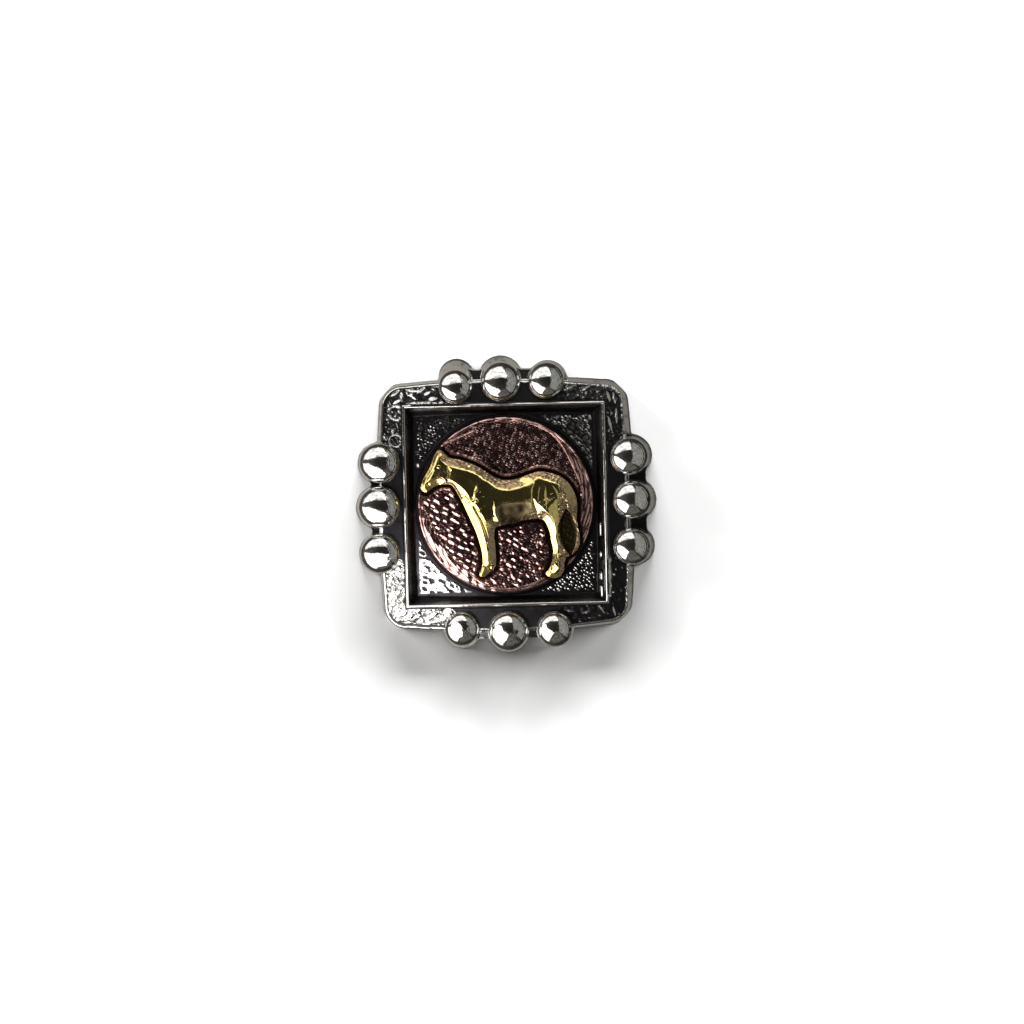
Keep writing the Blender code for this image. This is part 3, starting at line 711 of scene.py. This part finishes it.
def relief_object(name, outline, front_points, front, back_points, back, material, closed_edge):
    """A closed piece with a carved front and a back, joined at the outline by a wall or directly."""
    front_places, front_faces, front_rim = triangulate(outline, front_points)
    back_places, back_faces, back_rim = triangulate(outline, back_points)
    front_height, *front_dark_and_dull = front(*front_places.T)
    back_height, *back_dark_and_dull = back(*back_places.T)
    vertices = np.concatenate([
        np.column_stack([front_places, front_height]),
        np.column_stack([back_places, back_height]),
    ])
    back_index = np.arange(len(back_places)) + len(front_places)
    if closed_edge:
        vertices[front_rim, 2] = back_height[back_rim]
        back_index[back_rim] = front_rim
    faces = [front_faces, back_index[back_faces][:, ::-1]]
    front_normals = gradient_normals(front, front_places)[front_faces]
    back_normals = -gradient_normals(back, back_places)[back_faces][:, ::-1]
    normals = [front_normals, back_normals]
    if not closed_edge:
        wall, wall_normals = edge_wall(outline, front_rim, back_index[back_rim])
        faces.append(wall)
        normals.append(wall_normals)
    faces = np.concatenate(faces)
    used = np.unique(faces)
    new_index = np.zeros(len(vertices), int)
    new_index[used] = np.arange(len(used))
    mesh = bpy.data.meshes.new(name)
    mesh.from_pydata((vertices[used] * MM).tolist(), [], new_index[faces].tolist())
    mesh.shade_smooth()
    mesh.normals_split_custom_set(np.concatenate(normals).reshape(-1, 3).tolist())
    # The first attribute is how dark each place is made, by patina and by painted shade; the second is how
    # dull
    for key, on_front, on_back in zip(("patina_and_shade", "dull"), front_dark_and_dull, back_dark_and_dull):
        values = np.concatenate([on_front, on_back])[used].astype(np.float32)
        mesh.attributes.new(key, "FLOAT", "POINT").data.foreach_set("value", values)
    mesh.materials.append(material)
    piece = bpy.data.objects.new(name, mesh)
    bpy.context.scene.collection.objects.link(piece)
    return piece


def wall_points(outline, levels):
    """Places where the casting's side wall reaches the given heights, found inwards from the outline."""
    farthest = 0.9
    way = np.roll(outline, -1, 0) - np.roll(outline, 1, 0)
    inward = np.column_stack([-way[:, 1], way[:, 0]]) / np.linalg.norm(way, axis=1, keepdims=True)
    kept = []
    for level in levels:
        low = np.zeros(len(outline))
        high = np.full(len(outline), farthest)
        for _ in range(14):
            middle = (low + high) / 2
            below = casting_front(*(outline + inward * middle[:, None]).T)[0] < level
            low = np.where(below, middle, low)
            high = np.where(below, high, middle)
        kept.append((outline + inward * high[:, None])[high < farthest - 0.02])
    return np.concatenate(kept)


def dome_points(margins, count):
    """Places on circles round each bead's dome, the given distances outside its edge."""
    angles = np.linspace(0, 2 * math.pi, count, endpoint=False)
    kept = []
    for side, _, (top_u, top_v, top_radius) in BEADS:
        for margin in margins:
            u = top_u + (top_radius + margin) * np.cos(angles)
            v = top_v + (top_radius + margin) * np.sin(angles)
            kept.append(np.column_stack(to_side((4 - side) % 4, u, v)))
    return np.concatenate(kept)


# The copper disc and the brass horse

def horse_point(x, y):
    """Turn hundredths of the horse's length into a place on the concho."""
    return np.array([HORSE_CORNER[0] + x / 100 * HORSE_LENGTH, HORSE_CORNER[1] + y / 100 * HORSE_LENGTH])


def smooth_curve(points, parts):
    """A closed smooth curve through the points, each stretch cut into parts."""
    curve = []
    count = len(points)
    for index in range(count):
        before, start, end, after = (points[(index + shift) % count] for shift in (-1, 0, 1, 2))
        for part in range(parts):
            t = part / parts
            slope = (end - before) / 2
            bend = before - 2.5 * start + 2 * end - after / 2
            twist = (3 * (start - end) - before + after) / 2
            curve.append(start + slope * t + bend * t ** 2 + twist * t ** 3)
    return np.array(curve)


def along_and_away(start, end, x, y):
    """How far along the line from start to end each place is, as a share, and how far away from it."""
    run_x = end[0] - start[0]
    run_y = end[1] - start[1]
    square = run_x ** 2 + run_y ** 2 + 1e-12
    along = np.clip(((x - start[0]) * run_x + (y - start[1]) * run_y) / square, 0, 1)
    return along, np.hypot(x - start[0] - along * run_x, y - start[1] - along * run_y)


def distance_grid(outline):
    """A function that gives how far outside the outline each place is, less than zero inside."""
    pitch = 0.05
    low = -10.0
    count = 401
    ticks = low + pitch * np.arange(count)
    grid_x, grid_y = np.meshgrid(ticks, ticks, indexing="ij")
    nearest = np.full(grid_x.shape, np.inf)
    inside = np.zeros(grid_x.shape, bool)
    for (x1, y1), (x2, y2) in zip(outline, np.roll(outline, -1, 0)):
        nearest = np.minimum(nearest, along_and_away((x1, y1), (x2, y2), grid_x, grid_y)[1])
        crosses = (y1 > grid_y) != (y2 > grid_y)
        inside ^= crosses & (grid_x < (x2 - x1) * (grid_y - y1) / (y2 - y1 + 1e-15) + x1)
    table = np.where(inside, -nearest, nearest)

    def gap(x, y):
        u = np.clip((x - low) / pitch, 0, count - 1.001)
        v = np.clip((y - low) / pitch, 0, count - 1.001)
        i = u.astype(int)
        j = v.astype(int)
        return blended(table, i, j, u - i, v - j)

    return gap


horse_outline = smooth_curve([horse_point(x, y) for x, y in HORSE_OUTLINE], 8)
horse_gap = distance_grid(horse_outline)


def disc_front(x, y):
    """The disc's front: its height, how much dark patina and painted shadow it gets, and how dull it is."""
    reach = np.hypot(x, y)
    angle = np.arctan2(y, x)
    gap = horse_gap(x, y)
    off_lower_left = np.abs(np.degrees(angle) + 143)
    off_right = np.abs(np.degrees(angle) - 2)
    rim_inner = 8.92 - 0.92 * ease(45, 12, off_lower_left) + 0.06 * np.sin(7 * angle)
    rim_inner = rim_inner - 0.72 * ease(55, 20, off_right)
    on_ground = ease(rim_inner + 0.05, rim_inner - 0.2, reach)
    grains = disc_grains(x, y) * on_ground * ease(0.3, 0.6, gap)
    chip, bright = disc_chips(x, y)
    sparse = ease(-1.0, -2.0, x) + ease(-0.15, 0.15, broad_dents(x * 1.2, y * 1.2))
    chipped = on_ground * ease(2.4, 1.2, y) * ease(0.4, 0.7, gap) * np.clip(sparse, 0, 1)
    ground = DISC_GROUND + 0.115 * chip * chipped + 0.04 * grains + 0.01 * fine_dents(x, y) * on_ground
    halo = 0.07 * bell(gap, 0.52, 0.09) * ease(-0.5, 1.5, y - 1.0)
    ground = ground + halo * ease(rim_inner, rim_inner - 0.3, reach)
    rim = DISC_RIM_TOP - 0.06 * (reach - 8.2)
    for turn, out, slope in RIM_FACETS:
        facet = turned(x, y, turn)[0] - out
        rim = np.minimum(rim, DISC_RIM_TOP - slope * np.maximum(facet, 0))
    streak = rim_streaks(angle * DISC_RADIUS, reach)
    rim = rim + 0.04 * bell(reach, 9.13, 0.05) + 0.05 * streak
    rim = rim + 0.11 * broad_dents(x * 1.8 + y, y * 0.8 - x) * ease(60, 30, off_lower_left)
    rim = np.where(reach > rim_inner - 0.6, rim - 3.0 * np.clip(rim_inner - reach, 0, 1), 0)
    chord = along_and_away(*DISC_CHORD, x, y)[1]
    height = smooth_max(ground, rim, 0.05) + 0.12 * np.clip(1 - chord / 0.14, 0, 1)
    patina_and_shade = on_ground * (0.8 - 0.5 * grains * (1 - chipped)) * (1 - bright * chipped)
    patina_and_shade = np.maximum(patina_and_shade, (1 - on_ground) * (0.75 - 1.2 * streak))
    patina_and_shade = patina_and_shade * ease(0.05, 0.15, chord)
    # Painted shadow: a dark band on the copper ground all round the horse's outline
    patina_and_shade = np.maximum(patina_and_shade, 1.3 * ease(0.5, 0.3, gap))
    return height, np.clip(patina_and_shade, 0, 1.3), np.zeros(x.shape)


def disc_back(x, y):
    """The disc's flat back, just above the panel, with no darkening and no dullness."""
    return np.full(x.shape, PANEL_HEIGHT + DISC_SEAT_GAP), np.zeros(x.shape), np.zeros(x.shape)


def horse_edge(x, y):
    """How high the horse's bevelled edge stands at each place, and which way it faces in degrees."""
    rise = np.full(x.shape, np.inf)
    faces = np.zeros(x.shape)
    angles, slopes = np.array(HORSE_SLOPES).T
    for start, end in zip(horse_outline, np.roll(horse_outline, -1, 0)):
        turn = math.degrees(math.atan2(end[0] - start[0], start[1] - end[1])) % 360
        slope = np.interp(turn, angles, slopes)
        under_neck = 180 < turn < 270 and start[1] > 0.35 and start[0] > -6.8
        under_jaw = 240 < turn < 330 and start[1] > 0.35 and start[0] > -6.9
        if under_neck or under_jaw:
            slope = 1.6
        here = along_and_away(start, end, x, y)[1] * slope
        nearer = here < rise
        rise = np.where(nearer, here, rise)
        faces = np.where(nearer, turn, faces)
    return rise, faces


def ridge(x, y, line, slope):
    """A ridge that climbs over its width from the right of the line's way and falls away slowly beyond."""
    nearest = np.full(x.shape, np.inf)
    height = np.zeros(x.shape)
    last = len(line) - 2
    for index, (start, end) in enumerate(zip(line, line[1:])):
        run_x = end[0] - start[0]
        run_y = end[1] - start[1]
        length = math.hypot(run_x, run_y)
        travelled = ((x - start[0]) * run_x + (y - start[1]) * run_y) / length
        along, away = along_and_away(start, end, x, y)
        width = start[2] + (end[2] - start[2]) * along
        left = run_x * (y - start[1]) - run_y * (x - start[0])
        across = np.where(left > 0, away, -away)
        here = slope * np.clip(across + width / 2, 0, width)
        here = here * np.clip(1 - (across - width / 2) / (0.4 + 2 * width), 0, 1)
        if index == 0:
            here = here * ease(-RIDGE_FADE, 0, travelled)
        if index == last:
            here = here * ease(RIDGE_FADE, 0, travelled - length)
        nearer = away < nearest
        nearest = np.where(nearer, away, nearest)
        height = np.where(nearer, here, height)
    return height


def horse_front(x, y):
    """The horse's front: its height, how dark each place is made, and how dull it is."""
    rise, faces = horse_edge(x, y)
    masses = np.zeros(x.shape)
    for first, second, height in HORSE_MASSES:
        along, away = along_and_away(horse_point(*first[:2]), horse_point(*second[:2]), x, y)
        half_width = (first[2] + (second[2] - first[2]) * along) / 100 * HORSE_LENGTH
        masses += (height * np.clip(1 - (away / half_width) ** 2, 0, 1) ** 1.5) ** 6
    belly = ease(-1.7, -0.3, x) * ease(4.6, 1.4, x)
    swell = 0.6 * masses ** (1 / 6) * (0.55 + 0.45 * ease(-6.6, -4.6, x))
    face = HORSE_FACE + swell - 0.07 * np.clip(0.6 - y, 0, 2) * belly
    face = face - 0.13 * ease(-1.2, -3.6, y) - 0.12 * ease(-5.6, -6.6, y)
    face = np.maximum(face, 0.05)
    belly = belly * ease(0.7, -0.2, y)
    forehead = ease(35, 15, np.abs(faces - 150))
    height = HORSE_EDGE + smooth_min(rise, face, 0.05 + 0.13 * forehead)
    on_face = ease(0.8, 1.05, rise / face)
    for slope, line in HORSE_RIDGES:
        height = height + ridge(x, y, line, slope) * on_face
    height = height + (0.010 * broad_dents(x * 1.3, y * 1.3) + 0.004 * fine_dents(x, y)) * on_face
    for spot_x, spot_y, radius, lift in HORSE_SPOTS:
        height = height + lift * np.clip(1 - ((x - spot_x) ** 2 + (y - spot_y) ** 2) / radius ** 2, 0, 1)
    creased = np.zeros(x.shape)
    for half_width, depth, line in HORSE_CREASES:
        away = np.full(x.shape, np.inf)
        for start, end in zip(line, line[1:]):
            away = np.minimum(away, along_and_away(start, end, x, y)[1])
        mark = bell(away, 0, half_width)
        height = height - depth * mark
        creased = np.maximum(creased, mark)
    start, end, half_width = HORSE_HOLLOW
    along, away = along_and_away(start, end, x, y)
    hollow = ease(1.15, 0.55, away / (half_width * np.sin(math.pi * (0.06 + 0.88 * along)) + 1e-6))
    height = height + (HORSE_EDGE - 0.15 - height) * hollow
    on_edge = ease(0.95, 0.82, rise / face)
    back = on_edge * ease(58, 38, np.abs(faces - 85))
    right = on_edge * ease(75, 60, np.abs((faces + 45) % 360 - 45))
    right = np.maximum(right, ease(5.45, 5.8, x) * ease(-6.3, -5.8, y))
    under = on_edge * ease(60, 40, np.abs(faces - 290))
    under = under * ease(-1.6, -1.2, x) * ease(-3.5, -3, y)
    cheek = ease(0.95, 0.5, np.hypot(x + 6.8, y - 3.4))
    rubbed = np.zeros(x.shape)
    for spot_x, spot_y, half_width, half_height in HORSE_RUBBED:
        reach = np.hypot((x - spot_x) / half_width, (y - spot_y) / half_height)
        rubbed = np.maximum(rubbed, ease(1.2, 0.8, reach))
    grainy = largest(back, right, under)
    dull = largest(0.9 * grainy, 0.8 * belly, 0.6 * cheek) * (1 - rubbed)
    croup = ease(4.6, 5.6, x) * ease(-0.5, 0.8, y)
    dull = dull * (1 - 0.25 * croup)
    grains = brass_grains(x, y)
    height = height + (0.014 * fine_dents(x * 2, y * 2) + 0.06 * grains) * grainy * (1 - rubbed)
    # Darker over the belly, in uneven patches
    belly_darkening = belly * (0.84 + 0.14 * broad_dents(x * 2, y * 2))
    # Darker on the grainy edges, less on the croup, low down and on the grains
    edge_darkening = 0.62 - 0.6 * croup - 0.15 * ease(-1, -3, y) - 0.5 * grains
    patina_and_shade = largest(creased * 0.8, 1.3 * hollow, belly_darkening, edge_darkening * grainy * (1 - rubbed))
    return height, np.clip(patina_and_shade, 0, 1.3), np.clip(dull, 0, 1)


def horse_back(x, y):
    """The horse's underside, which sits just above the disc and steps over its rim."""
    over_rim = ease(8.0, 8.5, np.hypot(x, y))
    return HORSE_SEAT + 0.16 * over_rim, np.zeros(x.shape), np.zeros(x.shape)


# Materials

def node(tree, kind, inputs=None, **settings):
    """Add a shader node, make its settings, and set its inputs to values or join them to other nodes."""
    made = tree.nodes.new("ShaderNode" + kind)
    for key, value in settings.items():
        setattr(made, key, value)
    for key, value in (inputs or {}).items():
        if isinstance(value, bpy.types.NodeSocket):
            tree.links.new(value, made.inputs[key])
        else:
            made.inputs[key].default_value = value
    return made


def maths(tree, operation, *values, clamp=False):
    """Work out a number from others."""
    inputs = dict(enumerate(values))
    return node(tree, "Math", inputs, operation=operation, use_clamp=clamp).outputs["Value"]


def ramp(tree, value, start, end, low=0.0, high=1.0, kind="LINEAR"):
    """Go from low to high while a value goes from start to end."""
    inputs = {"Value": value, "From Min": start, "From Max": end, "To Min": low, "To Max": high}
    return node(tree, "MapRange", inputs, interpolation_type=kind).outputs["Result"]


def noise(tree, place, scale, detail, roughness):
    """Cloudy levels between 0 and 1."""
    inputs = {"Vector": place, "Scale": scale, "Detail": detail, "Roughness": roughness}
    return node(tree, "TexNoise", inputs).outputs["Fac"]


def mix(tree, share, first, second):
    """A colour between two others."""
    inputs = {"Factor": share, "A": first, "B": second}
    return node(tree, "Mix", inputs, data_type="RGBA").outputs["Result"]


def new_material(name):
    """A material with the usual nodes, and its node tree."""
    material = bpy.data.materials.new(name)
    material.use_nodes = True
    return material, material.node_tree


def metal(name, bright, dark, roughness, dark_roughness, grain, stain, tarnish):
    """A cast metal: bright on what stands up, dark with patina in the hollows and with painted shade, with
    stains, pits and fine scratches.
    """
    material, tree = new_material(name)
    place = node(tree, "TexCoord").outputs["Object"]
    # The attribute read here darkens the metal with patina in the hollows and with painted shade
    patina_and_shade = node(tree, "Attribute", attribute_name="patina_and_shade").outputs["Fac"]
    dull = node(tree, "Attribute", attribute_name="dull").outputs["Fac"]
    blotches = noise(tree, place, 420.0, 5.0, 0.6)
    speckle = noise(tree, place, 5200.0, 4.0, 0.65)
    uneven = maths(tree, "MULTIPLY_ADD", blotches, 0.7, -0.35)
    hollow = ramp(tree, maths(tree, "ADD", patina_and_shade, uneven, clamp=True), 0.25, 0.95, kind="SMOOTHSTEP")
    patches = mix(tree, ramp(tree, speckle, 0.45, 0.75), (*bright, 1), (*stain, 1))
    matt = mix(tree, dull, patches, (*tarnish, 1))
    rough = ramp(tree, hollow, 0.0, 1.0, roughness, dark_roughness)
    matt_rough = maths(tree, "MULTIPLY_ADD", dull, 0.15, rough)
    bump = node(tree, "Bump", {"Strength": grain, "Distance": 0.00002, "Height": speckle})
    inputs = tree.nodes["Principled BSDF"].inputs
    inputs["Metallic"].default_value = 1.0
    tree.links.new(mix(tree, hollow, matt, (*dark, 1)), inputs["Base Color"])
    tree.links.new(maths(tree, "MULTIPLY_ADD", speckle, 0.10, matt_rough), inputs["Roughness"])
    tree.links.new(bump.outputs["Normal"], inputs["Normal"])
    return material


# Bright colour, dark colour for patina and painted shade, roughness of the two, grain, and the colours of
# stains and of dull places
silver = metal("silver tone", (0.70, 0.68, 0.65), (0.030, 0.028, 0.030), 0.04, 0.30, 0.25,
               (0.52, 0.50, 0.47), (0.50, 0.49, 0.47))
copper = metal("copper", (0.70, 0.44, 0.39), (0.040, 0.017, 0.016), 0.07, 0.22, 0.4,
               (0.40, 0.20, 0.17), (0.45, 0.28, 0.25))
brass = metal("brass", (0.86, 0.70, 0.27), (0.022, 0.016, 0.008), 0.06, 0.30, 0.3,
              (0.62, 0.47, 0.17), (0.46, 0.31, 0.20))


# The casting

OUTLINE_POINTS = 1500
FARTHEST_OUT = 17.5

# Heights on the side wall, and distances outside the beads' domes, that get points of their own
WALL_LEVELS = (0.5, 0.9, 1.3, 1.7, 2.05, 2.25, 2.45, 2.55, 2.62, 2.9, 3.2, 3.5)
DOME_MARGINS = (-0.005, 0.035, 0.09)

# Points are left out where the wall is lower or steeper than this, and nearly all where a piece hides them
LEAST_WALL = 0.35
LEAST_UPWARD = 0.4
HIDDEN_SHARE = 0.02

outline = round_outline(casting_wall, OUTLINE_POINTS, FARTHEST_OUT)
casting_low = outline.min(0)
casting_high = outline.max(0)
front_points = adaptive_points(casting_front, casting_low, casting_high, 0.4, 3, 0.008)
front_points = front_points[casting_wall(*front_points.T) > LEAST_WALL]
front_points = front_points[gradient_normals(casting_front, front_points)[:, 2] > LEAST_UPWARD]
extra_points = np.concatenate([wall_points(outline, WALL_LEVELS), dome_points(DOME_MARGINS, 120)])
extra_points = extra_points[casting_wall(*extra_points.T) > LEAST_WALL]
front_points = np.concatenate([front_points, extra_points])
hidden = np.hypot(*front_points.T) < DISC_RADIUS - 0.5
front_points = front_points[~hidden | (np.random.default_rng(5).random(len(front_points)) < HIDDEN_SHARE)]
back_points = adaptive_points(casting_back, casting_low, casting_high, 0.8, 3, 0.004)
back_points = back_points[casting_wall(*back_points.T) > 0.6]
casting = relief_object("casting", outline, front_points, casting_front,
                        back_points, casting_back, silver, True)
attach(casting, "root")
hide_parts("cast_frame")


# The copper disc

rim_angles = np.linspace(0, 2 * math.pi, 720, endpoint=False)
disc_outline = DISC_RADIUS * np.stack([np.cos(rim_angles), np.sin(rim_angles)], 1)
disc_low = np.array([-DISC_RADIUS, -DISC_RADIUS])
front_points = adaptive_points(disc_front, disc_low, -disc_low, 0.4, 3, 0.004)
front_points = front_points[np.hypot(*front_points.T) < DISC_RADIUS - 0.03]
hidden = horse_gap(*front_points.T) < -0.2
front_points = front_points[~hidden | (np.random.default_rng(6).random(len(front_points)) < HIDDEN_SHARE)]
back_points = np.zeros((1, 2))
disc = relief_object("disc", disc_outline, front_points, disc_front,
                     back_points, disc_back, copper, False)
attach(disc, "root")
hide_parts("copper_disc")


# The brass horse

horse_low = horse_outline.min(0)
horse_high = horse_outline.max(0)
front_points = adaptive_points(horse_front, horse_low, horse_high, 0.2, 2, 0.002)
front_points = front_points[horse_gap(*front_points.T) < -0.02]
back_points = adaptive_points(horse_back, horse_low, horse_high, 0.8, 1, 0.01)
back_points = back_points[horse_gap(*back_points.T) < -0.1]
horse = relief_object("horse_relief", horse_outline, front_points, horse_front,
                      back_points, horse_back, brass, False)
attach(horse, "root")
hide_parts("horse")


# Floor, lights and camera

WHITE = (1.0, 1.0, 1.0)
WARM_WHITE = (1.0, 0.95, 0.88)


def emitter(name, colour, strength, mottle):
    """A material that glows evenly, or in patches where mottle is above zero."""
    material, tree = new_material(name)
    tree.nodes.clear()
    if mottle > 0:
        place = node(tree, "TexCoord").outputs["Object"]
        strength = ramp(tree, noise(tree, place, mottle, 6.0, 0.7), 0.38, 0.62, strength * 0.25, strength)
    glow = node(tree, "Emission", {"Color": (*colour, 1), "Strength": strength})
    node(tree, "OutputMaterial", {"Surface": glow.outputs["Emission"]})
    return material


def floor_glow():
    """The floor as the metal shows it: bright close by, most to the left, and dark further away."""
    material = emitter("floor glow", WARM_WHITE, 0.4, 0)
    tree = material.node_tree
    place = node(tree, "TexCoord").outputs["Object"]
    parts = node(tree, "SeparateXYZ", {"Vector": place})
    away = node(tree, "VectorMath", {0: place}, operation="LENGTH").outputs["Value"]
    near = ramp(tree, away, 0.03, 0.06, 1.0, 0.08, "SMOOTHSTEP")
    across = ramp(tree, parts.outputs["X"], -0.025, 0.025, 0.50, 0.20, "SMOOTHSTEP")
    tree.links.new(maths(tree, "MULTIPLY", near, across), tree.nodes["Emission"].inputs["Strength"])
    return material


def sheet(name, corners, height, material, seen_by_camera):
    """A flat sheet beside the concho: the floor, or a card that only shows in the metal."""
    mesh = bpy.data.meshes.new(name)
    mesh.from_pydata([(x * MM, y * MM, height * MM) for x, y in corners], [], [tuple(range(len(corners)))])
    mesh.materials.append(material)
    made = bpy.data.objects.new(name, mesh)
    made.visible_camera = seen_by_camera
    made.visible_diffuse = seen_by_camera
    made.visible_shadow = seen_by_camera
    made.visible_glossy = not seen_by_camera
    bpy.context.scene.collection.objects.link(made)


def lamp(name, azimuth, tilt, distance, width, height, power):
    """A rectangular soft light that faces the concho and doesn't show in the metal."""
    light = bpy.data.lights.new(name, "AREA")
    light.shape = "RECTANGLE"
    light.size = width
    light.size_y = height
    light.energy = power
    made = bpy.data.objects.new(name, light)
    tilt = math.radians(tilt)
    turn = math.radians(azimuth)
    way = (math.sin(tilt) * math.cos(turn), math.sin(tilt) * math.sin(turn), math.cos(tilt))
    made.location = Vector(way) * distance
    made.rotation_euler = (tilt, 0, turn + math.pi / 2)
    made.visible_glossy = False
    made.visible_camera = False
    bpy.context.scene.collection.objects.link(made)


floor_material, floor_tree = new_material("floor")
floor_shader = floor_tree.nodes["Principled BSDF"]
floor_shader.inputs["Base Color"].default_value = (0.86, 0.86, 0.86, 1)
floor_shader.inputs["Roughness"].default_value = 0.9
FLOOR = ((-2000, -2000), (2000, -2000), (2000, 2000), (-2000, 2000))
FLOOR_HEIGHT = -0.02
sheet("floor", FLOOR, FLOOR_HEIGHT, floor_material, True)
sheet("floor in the metal", FLOOR, FLOOR_HEIGHT, floor_glow(), False)

# Cards that only show in the metal: name, height, colour, strength, mottle and corners
CARDS = (
    ("softbox", 50, WHITE, 3.0, 0,
     ((0, -25), (-40, -100), (-60, -150), (-120, -120), (-165, -60), (-165, 5), (-60, 0), (-25, -8))),
    ("strip", 50, WHITE, 2.7, 70,
     ((22, 30), (-50, 24), (-165, 36), (-165, 80), (-90, 130), (10, 130), (24, 60))),
    ("side", 50, (0.97, 1.0, 0.95), 0.55, 150,
     ((22, -22), (110, -95), (165, -60), (165, 60), (110, 110), (40, 110), (24, 40))),
    ("corner", 15, WHITE, 4.5, 0,
     ((-5, -13), (-5, -22), (-22, -22), (-22, -5), (-13, -5), (-9, -6), (-6, -9))),
    ("low", 50, WARM_WHITE, 0.26, 90, ((0, -23), (14, -19), (90, -110), (-40, -150))),
)
for name, height, colour, strength, mottle, corners in CARDS:
    sheet(name + " card", corners, height, emitter(name + " glow", colour, strength, mottle), False)

# Lamps: direction and tilt in degrees, distance, width, height and power
lamp("key light", 90, 70, 2.0, 1.4, 0.6, 84)
lamp("right light", 25, 74, 2.0, 1.1, 0.5, 52)
lamp("left light", 155, 74, 2.0, 1.1, 0.5, 56)
lamp("fill light", 250, 20, 2.0, 2.0, 2.0, 2)

world = bpy.data.worlds.new("room")
bpy.context.scene.world = world
world.use_nodes = True
tree = world.node_tree
parts = node(tree, "SeparateXYZ", {"Vector": node(tree, "TexCoord").outputs["Generated"]})
low_wall = ramp(tree, parts.outputs["Z"], 1.0, 0.75, 0.027, 0.06, "SMOOTHSTEP")
sideways = maths(tree, "MULTIPLY_ADD", parts.outputs["X"], -0.8, 1.0)
background = tree.nodes["Background"].inputs
tree.links.new(maths(tree, "MULTIPLY", low_wall, sideways), background["Strength"])
background["Color"].default_value = (*WARM_WHITE, 1)

FRAME_PIXELS = 1024
PIXEL = 31.75 / 299 * MM
SENSOR_WIDTH = 36
CAMERA_DISTANCE = 0.30
CAMERA_TILT = (0.5, 1.5)
CAMERA_ROLL = -1.3
CAMERA_AIM = (0.67, -0.81, 2.4)
camera = bpy.data.cameras.new("camera")
camera.sensor_width = SENSOR_WIDTH
camera.lens = SENSOR_WIDTH * CAMERA_DISTANCE / (FRAME_PIXELS * PIXEL)
camera.clip_start = 0.01
eye = bpy.data.objects.new("camera", camera)
slopes = [math.tan(math.radians(tilt)) for tilt in CAMERA_TILT]
back = Vector((*slopes, 1)).normalized()
right = Vector((0, 1, 0)).cross(back).normalized()
turn = Matrix((right, back.cross(right), back)).transposed().to_4x4()
turn = turn @ Matrix.Rotation(math.radians(CAMERA_ROLL), 4, "Z")
eye.matrix_world = Matrix.Translation(Vector(CAMERA_AIM) * MM + back * CAMERA_DISTANCE) @ turn
bpy.context.scene.collection.objects.link(eye)
bpy.context.scene.camera = eye
bpy.context.scene.view_settings.view_transform = "Standard"
